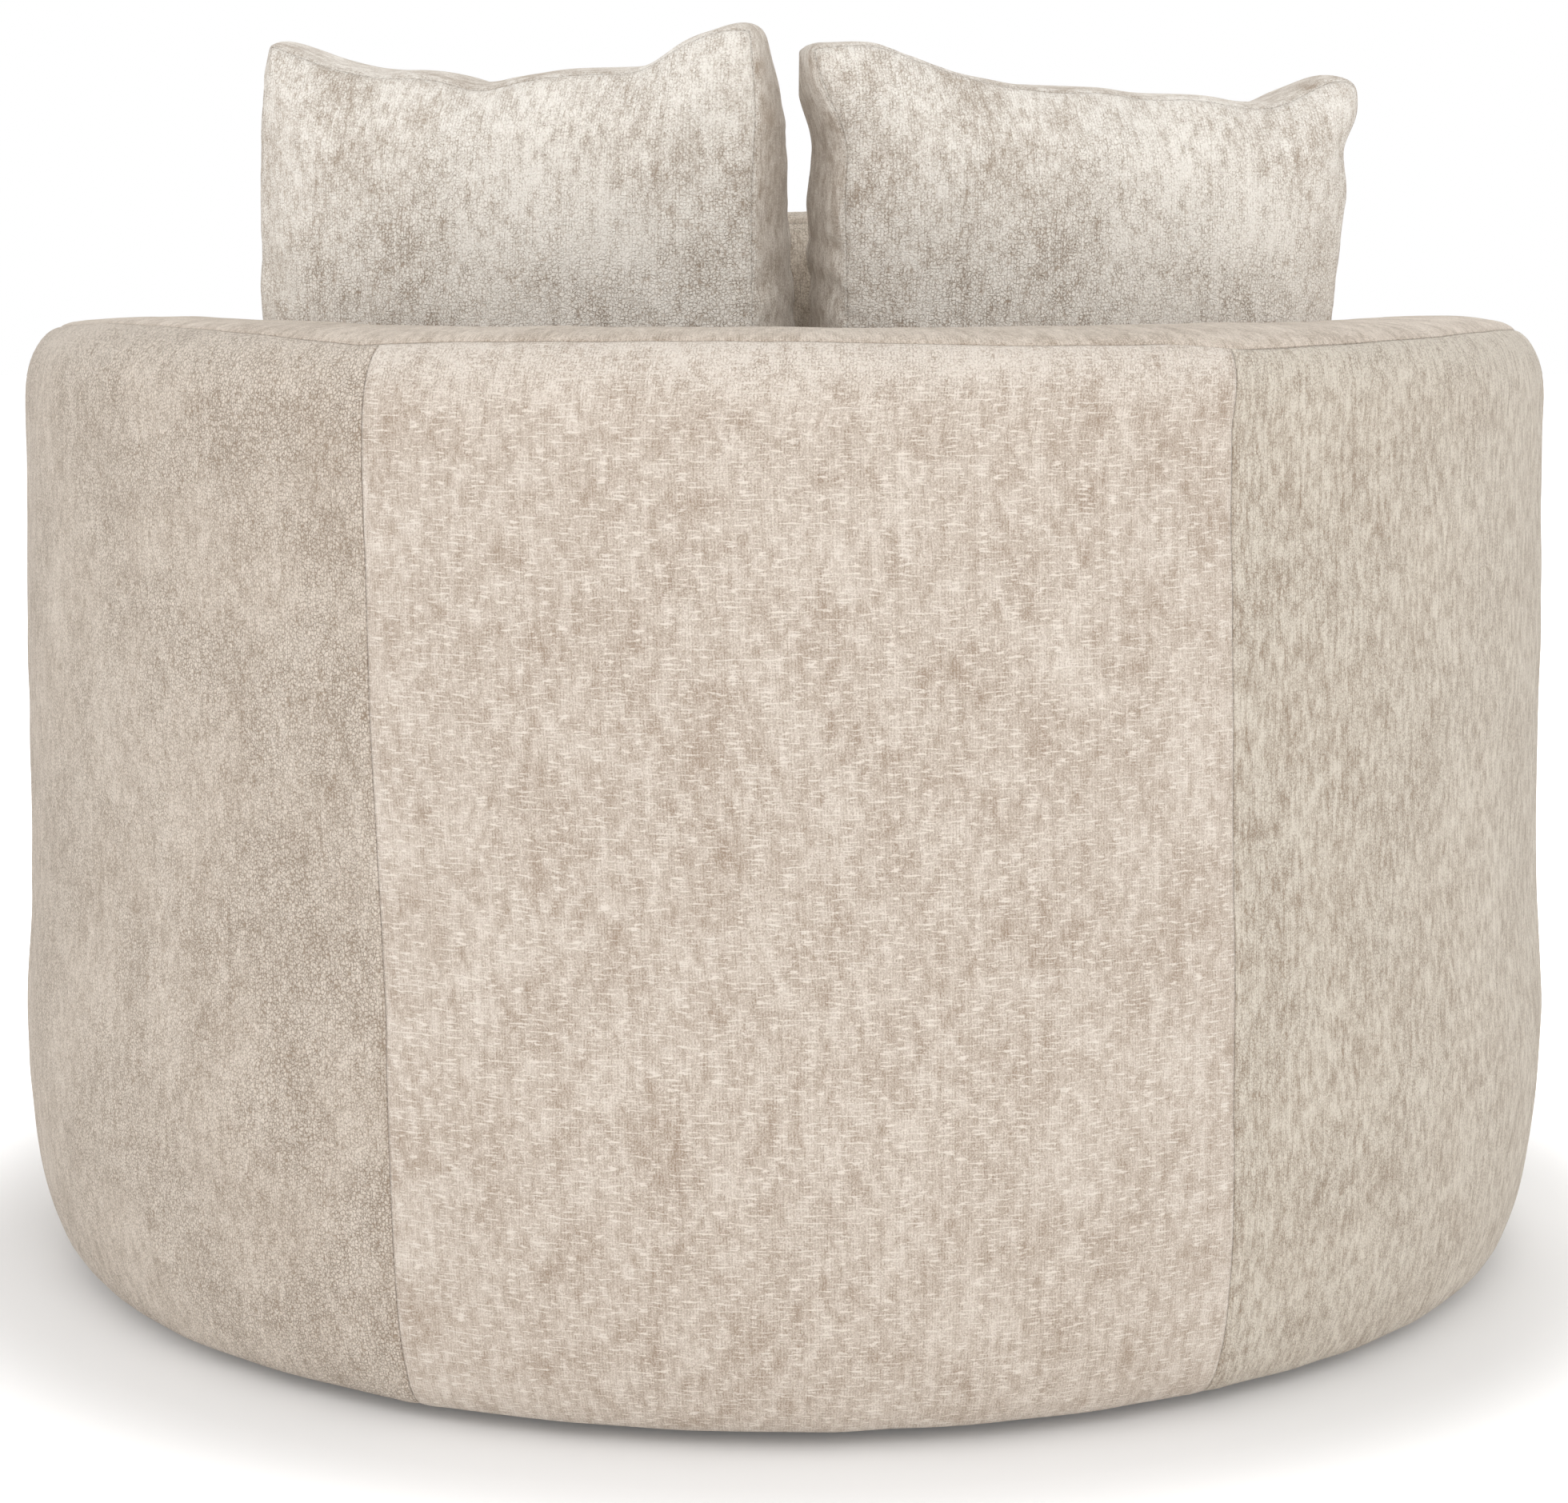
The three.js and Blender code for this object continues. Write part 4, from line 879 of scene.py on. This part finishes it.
def sew_and_settle(piece, gathered, rounding, seed):
    """Rounds the filled cover, pinches its seams, and gathers the gusset into soft puckers, as
    deep as gathered says for each place."""
    finish_modifier(piece, "SMOOTH", factor=0.5, iterations=rounding)
    finish_modifier(piece, "SUBSURF", levels=1, render_levels=1)
    seam, along, band = (read_values(piece, title) for title in ("seam", "along", "band"))
    places = read_places(piece.data)
    pucker = gathered(places)
    shift = 0.5 * waviness(np.column_stack([along, band, 0 * band]), 0.06, seed)
    fold = np.sin(2 * math.pi * (along / 0.043 + shift)) * (0.5 + waviness(places, 0.13, seed + 3))
    crimp = np.sin(2 * math.pi * (along / 0.017 + 2 * shift))
    on_gusset = 0.0040 * fold * np.exp(-(seam / 0.035) ** 2) + 0.0007 * crimp * np.exp(-seam / 0.012)
    gather = pucker * band * on_gusset
    gather += pucker * (1 - band) * 0.0006 * crimp * np.exp(-seam / 0.010)
    soft = 0.0022 * waviness(places, 0.11, seed + 5) + 0.0008 * waviness(places, 0.035, seed + 7)
    lift = gather + soft * np.clip(seam / 0.02, 0, 1) - 0.0012 * np.exp(-(seam / 0.0022) ** 2)
    write_places(piece, places + read_places(piece.data, "normal") * lift[:, None])


def dress_cushion(piece, cloth, body, nodes):
    piece.data.materials.append(cloth)
    piece.data.shade_smooth()
    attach(piece, body)
    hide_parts(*nodes)


def seat_outline(count):
    """Four sides: the front edge, the left, the back and the right, as seen from above."""
    circle = well_radius * 0.995 - cushion_fit
    neck = arm_end + 0.012
    front_radius = 0.604
    split = math.radians(48)

    def arc(radius, start, end):
        angles = np.linspace(start, end, 60)
        return np.stack([radius * np.sin(angles), radius * np.cos(angles)], 1)

    def flank(side):
        corner = arc(front_radius, side * neck, side * neck)[:1]
        return np.concatenate([corner, arc(circle, side * (neck - 0.03), side * split)])

    sides = (arc(front_radius, 2 * math.pi - neck, neck), flank(1), arc(circle, -split, split), flank(-1))
    return [open_curve(side, count) for side in sides]


seat = boxed_cushion("seat_cushion", seat_outline(84),
                     lambda flat: np.full(len(flat), seat_depth / 2 - 0.004), (0.012, 0.06),
                     16)
seat_middle = seat_bottom + seat_depth / 2
fill_out(seat, 3.0, 0.012, 0.5)
write_places(seat, read_places(seat.data) + (0, 0, seat_middle))
sew_and_settle(seat, lambda places: 0.3, 3, 2)
write_places(seat, np.maximum(read_places(seat.data), (-math.inf, -math.inf, seat_bottom)))
dress_cushion(seat, cushion_cloth, "seat_cushion", ["seat_cushion_cover", "seat_cushion_fill"])


# Back pillows. Two boxed pillows, stuffed with fibre, lean on the rim with their inner edges
# turned to the sitter. Each has slumped its own way: a dip in the top and raised corners.
pillow_size = (0.396, 0.500, 0.088)
pillow_back, pillow_middle, pillow_gap = 0.252, 0.716, 0.0065
pillow_lean, pillow_roll, pillow_toe = math.radians(12), math.radians(2), math.radians(14)
pillow_crown = (0.030, 0.055)
pillow_meeting_heights, pillow_meeting_places = (0.80, 0.93), (-0.0095, -0.0045)
seat_reach = 0.52


def stood_at(place, turn):
    return Matrix.Translation(place) @ Euler(turn, "XYZ").to_matrix().to_4x4()


def pillow_place(side):
    half = (pillow_size[0] * math.cos(pillow_toe) + pillow_size[2] * math.sin(pillow_toe)) / 2
    return stood_at((side * (pillow_gap + half), pillow_back, pillow_middle),
                    (-pillow_lean, -side * pillow_roll, -side * pillow_toe))


def pillow_depth(size, pinch):
    def half_depth(flat):
        corner = np.abs(flat[:, 0] / size[0] * 2) * np.abs(flat[:, 1] / size[1] * 2)
        return size[2] / 2 * (1 - pinch * np.clip(corner, 0, 1.1) ** 6)
    return half_depth


def slump(piece, size, sag, splay):
    """The front face sags, so that the gusset on top lies level when the pillow leans, and its
    lower half is splayed to one side."""
    places = read_places(piece.data)
    height = places[:, 1] / size[1]
    forward = 0.5 - places[:, 2] / size[2]
    places[:, 0] += splay * forward * np.clip(0.5 - height, 0, 1)
    places[:, 1] -= sag * forward * np.clip(2 * height, 0, 1) ** 2
    write_places(piece, places)


def moved(places, place):
    return places @ np.array(place.to_3x3()).T + np.array(place.translation)


def put_in_place(piece, place):
    """Turns plan and depth into across, up and through, and moves the piece where it stands."""
    write_places(piece, moved(read_places(piece.data)[:, [0, 2, 1]], place))
    outward_faces(piece)


def rest_on_seat(piece, gap=0.0006):
    """What would sink into the seat cushion lies on it instead."""
    places = read_places(piece.data)
    top = BVHTree.FromPolygons([v.co[:] for v in seat.data.vertices],
                               [p.vertices[:] for p in seat.data.polygons])
    for place in places:
        hit = place[2] < seat_reach and top.ray_cast(Vector((place[0], place[1], 0.6)), Vector((0, 0, -1)))[0]
        if hit:
            place[2] = max(place[2], hit.z + gap)
    write_places(piece, places)


def inner_folds(side):
    """The gusset is gathered most where the two pillows press on each other."""
    def gathered(places):
        near = np.clip((0.10 - side * places[:, 0]) / 0.05, 0, 1)
        low = np.clip((0.86 - places[:, 2]) / 0.08, 0, 1)
        return 0.15 + 0.9 * near * low
    return gathered


def back_pillow(name, side, body, settling, bottom, left, top, right, seed):
    steps = ((62, 78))
    sides = [open_curve(line, count) for line, count in zip((bottom, left, top, right), steps * 2)]
    piece = boxed_cushion(name, sides, pillow_depth(pillow_size, 0.3), pillow_crown, 12)
    fill_out(piece, 4.0, 0.016, 0.25)
    slump(piece, pillow_size, *settling)
    put_in_place(piece, pillow_place(side))
    sew_and_settle(piece, inner_folds(side), 6, seed)
    rest_on_seat(piece)
    places = read_places(piece.data)
    meeting = np.interp(places[:, 2], pillow_meeting_heights, pillow_meeting_places)
    places[:, 0] = side * np.maximum(side * places[:, 0], side * meeting + 0.001)
    write_places(piece, places)
    dress_cushion(piece, pillow_cloth, body, [body.replace("pillow", "pillow_cover"),
                                              body.replace("pillow", "pillow_fill")])
    return piece


left_pillow = back_pillow(
    "left_back_pillow", 1, "back_pillow_left", settling=(0.02, -0.03),
    bottom=[(-0.196, -0.248), (-0.1, -0.24), (0.08, -0.24), (0.188, -0.246)],
    left=[(0.19, -0.246), (0.186, -0.1), (0.185, 0.08), (0.18, 0.145), (0.174, 0.205), (0.165, 0.26)],
    top=[(-0.2, 0.28), (-0.178, 0.28), (-0.152, 0.268), (-0.119, 0.249), (-0.082, 0.2475),
         (-0.05, 0.2445), (-0.02, 0.239), (0.004, 0.234), (0.04, 0.2415), (0.077, 0.2395),
         (0.113, 0.244), (0.143, 0.253), (0.165, 0.26)],
    right=[(-0.196, -0.248), (-0.199, -0.1), (-0.203, 0.06), (-0.204, 0.158), (-0.207, 0.22),
           (-0.2, 0.28)],
    seed=11)
right_pillow = back_pillow(
    "right_back_pillow", -1, "back_pillow_right", settling=(0.026, 0.016),
    bottom=[(-0.196, -0.246), (-0.08, -0.24), (0.1, -0.24), (0.192, -0.248)],
    left=[(0.192, -0.248), (0.191, -0.05), (0.191, 0.06), (0.194, 0.123), (0.196, 0.165), (0.193, 0.19),
          (0.199, 0.213), (0.21, 0.24), (0.214, 0.27)],
    top=[(-0.206, 0.23), (-0.19, 0.239), (-0.16, 0.225), (-0.135, 0.216), (-0.119, 0.217),
         (-0.073, 0.226), (-0.036, 0.2265), (0.0, 0.233), (0.03, 0.233), (0.067, 0.237),
         (0.104, 0.2455), (0.14, 0.257), (0.172, 0.271), (0.214, 0.27)],
    right=[(-0.196, -0.246), (-0.199, -0.1), (-0.2, 0.06), (-0.202, 0.12), (-0.204, 0.156),
           (-0.197, 0.18), (-0.211, 0.207), (-0.206, 0.23)],
    seed=23)


# Lumbar pillow. A wide, softer pillow with a narrow gusset lies against the two back pillows.
lumbar_size = (0.560, 0.400, 0.024)
lumbar_crown = (0.040, 0.075)
lumbar_side_draw, lumbar_bottom_draw, lumbar_top_draw = 0.012, 0.010, 0.004
lumbar_place = stood_at((0, 0.076, 0.6645), (-math.radians(22), 0, 0))


def drawn_side(start, end, draw, steps):
    """An edge that pulls in between its corners, towards the middle of the pillow."""
    share = np.linspace(0, 1, 9)[:, None]
    line = (1 - share) * np.array(start) + share * np.array(end)
    middle = line[len(line) // 2]
    return open_curve(line - draw * np.sin(share * math.pi) * middle / np.linalg.norm(middle), steps)


across, up = lumbar_size[0] / 2, lumbar_size[1] / 2
steps = ((88, 64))
sides = [drawn_side((-across, -up), (across, -up), lumbar_bottom_draw, steps[0]),
         drawn_side((across, -up), (across, up), lumbar_side_draw, steps[1]),
         drawn_side((-across, up), (across, up), lumbar_top_draw, steps[0]),
         drawn_side((-across, -up), (-across, up), lumbar_side_draw, steps[1])]
lumbar = boxed_cushion("lumbar_pillow_cover", sides, pillow_depth(lumbar_size, 0.35), lumbar_crown, 4)
fill_out(lumbar, 4.0, 0.012, 0.25)
put_in_place(lumbar, lumbar_place)
sew_and_settle(lumbar, lambda places: 0.4, 3, 31)
rest_on_seat(lumbar)
dress_cushion(lumbar, cushion_cloth, "lumbar", ["lumbar_pillow"])


# Zips. A nylon coil zip in the cloth's colour is sewn into the back of the seat cushion's gusset
# and into the outer side of each back pillow's. It closes the cover and lies flush.
zip_width = 0.007
zip_proud = 0.0006
tooth_pitch = 0.0022


def make_zip_tape():
    material, tree, shader = start_material("ecru nylon coil zip")
    plan = add_node(tree, "UVMap", uv_map="plan").outputs["UV"]
    spot = axes(plan)
    teeth = wave(spot["X"], tooth_pitch)
    coil = fade(maths("ABSOLUTE", spot["Y"]), 0.0012, 0.0020, 1.0, 0.0)
    tape = mixed(speckle(plan, 1600.0), colour(188, 175, 158), colour(206, 194, 178))
    nylon = mixed(teeth, colour(128, 116, 102), colour(222, 213, 199))
    height = maths("MULTIPLY_ADD", times(teeth, coil), 0.7)
    coat(shader, mixed(times(coil, 0.8), tape, nylon),
         fade(coil, 0.0, 1.0, 0.8, 0.4), height, 0.0008)
    return material


zip_tape = make_zip_tape()


def zip_strip(name, node, body, cushion, length, place):
    """A strip along x, laid on the nearest of the cushion's cloth from where place puts it."""
    bpy.ops.mesh.primitive_grid_add(x_subdivisions=80, y_subdivisions=4, size=1, location=(0, 0, 0))
    strip = bpy.context.object
    strip.name = strip.data.name = name
    flat = read_places(strip.data) * (length, zip_width, 1)
    corners = [loop.vertex_index for loop in strip.data.loops]
    strip.data.uv_layers[0].name = "plan"
    strip.data.uv_layers["plan"].data.foreach_set("uv", flat[corners, :2].ravel())
    write_places(strip, moved(flat, place))
    finish_modifier(strip, "SHRINKWRAP", target=cushion, wrap_mode="ABOVE_SURFACE", offset=zip_proud)
    finish_modifier(strip, "SOLIDIFY", thickness=zip_proud, offset=0.0)
    strip.data.materials.append(zip_tape)
    strip.data.shade_smooth()
    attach(strip, body)
    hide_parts(node)


zip_strip("seat_zip", "seat_cushion_zip", "seat_cushion", seat, 0.320,
          Matrix.Translation((0, 0.480, seat_middle)) @ Matrix.Rotation(math.radians(90), 4, "X"))
for side, name, pillow in ((1, "left", left_pillow), (-1, "right", right_pillow)):
    edge = Matrix.Translation((side * pillow_size[0] / 2, 0, 0)) @ Matrix.Rotation(math.radians(90), 4, "Y")
    zip_strip(f"{name}_pillow_zip", f"back_pillow_zip_{name}", f"back_pillow_{name}", pillow, 0.240,
              pillow_place(side) @ edge)


# Studio. A white floor with a painted shadow ring round the chair, soft lamps above and beside, and the
# camera behind the chair at the photograph's height and distance.
bpy.ops.mesh.primitive_plane_add(size=30, location=(0, 0, 0))
floor = bpy.context.object
floor.name = "floor"
floor_paint, tree, shader = start_material("white floor with a painted shadow ring")
for title, value in (("Base Color", (0.9, 0.9, 0.9, 1)), ("Roughness", 1.0), ("Specular IOR Level", 0.0)):
    feed(shader.inputs[title], value)
# The floor glows for the camera only weakly within 0.65 m of the chair's axis and fully beyond 0.9 m: a
# painted shadow ring round the chair, over its real shadow.
glow_with_painted_shadow_ring = fade(reach_of(on_piece(tree)), 0.65, 0.90, 0.08, 0.75)
seen = add_node(tree, "LightPath").outputs["Is Camera Ray"]
shine = add_node(tree, "Emission", Strength=times(seen, glow_with_painted_shadow_ring))
both = add_node(tree, "AddShader")
feed(both.inputs[0], shader.outputs["BSDF"])
feed(both.inputs[1], shine.outputs["Emission"])
feed(tree.nodes["Material Output"].inputs["Surface"], both.outputs["Shader"])
floor.data.materials.append(floor_paint)

world = bpy.data.worlds.new("white room")
scene.world = world
world.use_nodes = True
tree = world.node_tree
back = tree.nodes["Background"].inputs
seen = add_node(tree, "LightPath").outputs
mirrored = maths("MAXIMUM", seen["Is Glossy Ray"], seen["Is Transmission Ray"])
shown = maths("MAXIMUM", seen["Is Camera Ray"], mirrored)
feed(back["Color"], (1, 1, 1, 1))
feed(back["Strength"], fade(shown, 0.0, 1.0, 0.62, 1.0))


def soft_lamp(name, place, target, size, power):
    lamp = bpy.data.lights.new(name, "AREA")
    lamp.shape = "DISK"
    lamp.size = size
    lamp.energy = power
    lamp_object = bpy.data.objects.new(name, lamp)
    scene.collection.objects.link(lamp_object)
    lamp_object.location = place
    lamp_object.rotation_euler = (Vector(target) - Vector(place)).to_track_quat("-Z", "Y").to_euler()


soft_lamp("lamp_over_camera", (-0.4, 3.4, 1.8), (0, 0.3, 0.5), 2.6, 34)
soft_lamp("lamp_back_left", (2.9, 1.1, 1.4), (0, 0, 0.5), 2.0, 20)
soft_lamp("lamp_back_right", (-2.9, 1.1, 1.4), (0, 0, 0.5), 2.0, 13)
soft_lamp("lamp_above", (0, 0.2, 3.2), (0, 0, 0.5), 2.5, 6)
soft_lamp("lamp_front", (-0.8, -3.4, 2.2), (0, 0, 0.5), 2.4, 50)

photo_width, focal_length = 1960, 4278.4
camera_turn = math.radians(0.9)
camera_dip = 8.98
camera_distance, camera_height = 2.848, 0.844
camera = bpy.data.cameras.new("camera")
camera.sensor_width = 36
camera.lens = focal_length * camera.sensor_width / photo_width
camera_object = bpy.data.objects.new("camera", camera)
scene.collection.objects.link(camera_object)
camera_object.location = (camera_distance * math.sin(camera_turn), camera_distance * math.cos(camera_turn),
                          camera_height)
camera_object.rotation_euler = (math.radians(90 - camera_dip), 0, math.pi - camera_turn)
scene.camera = camera_object
scene.view_settings.view_transform = "Standard"
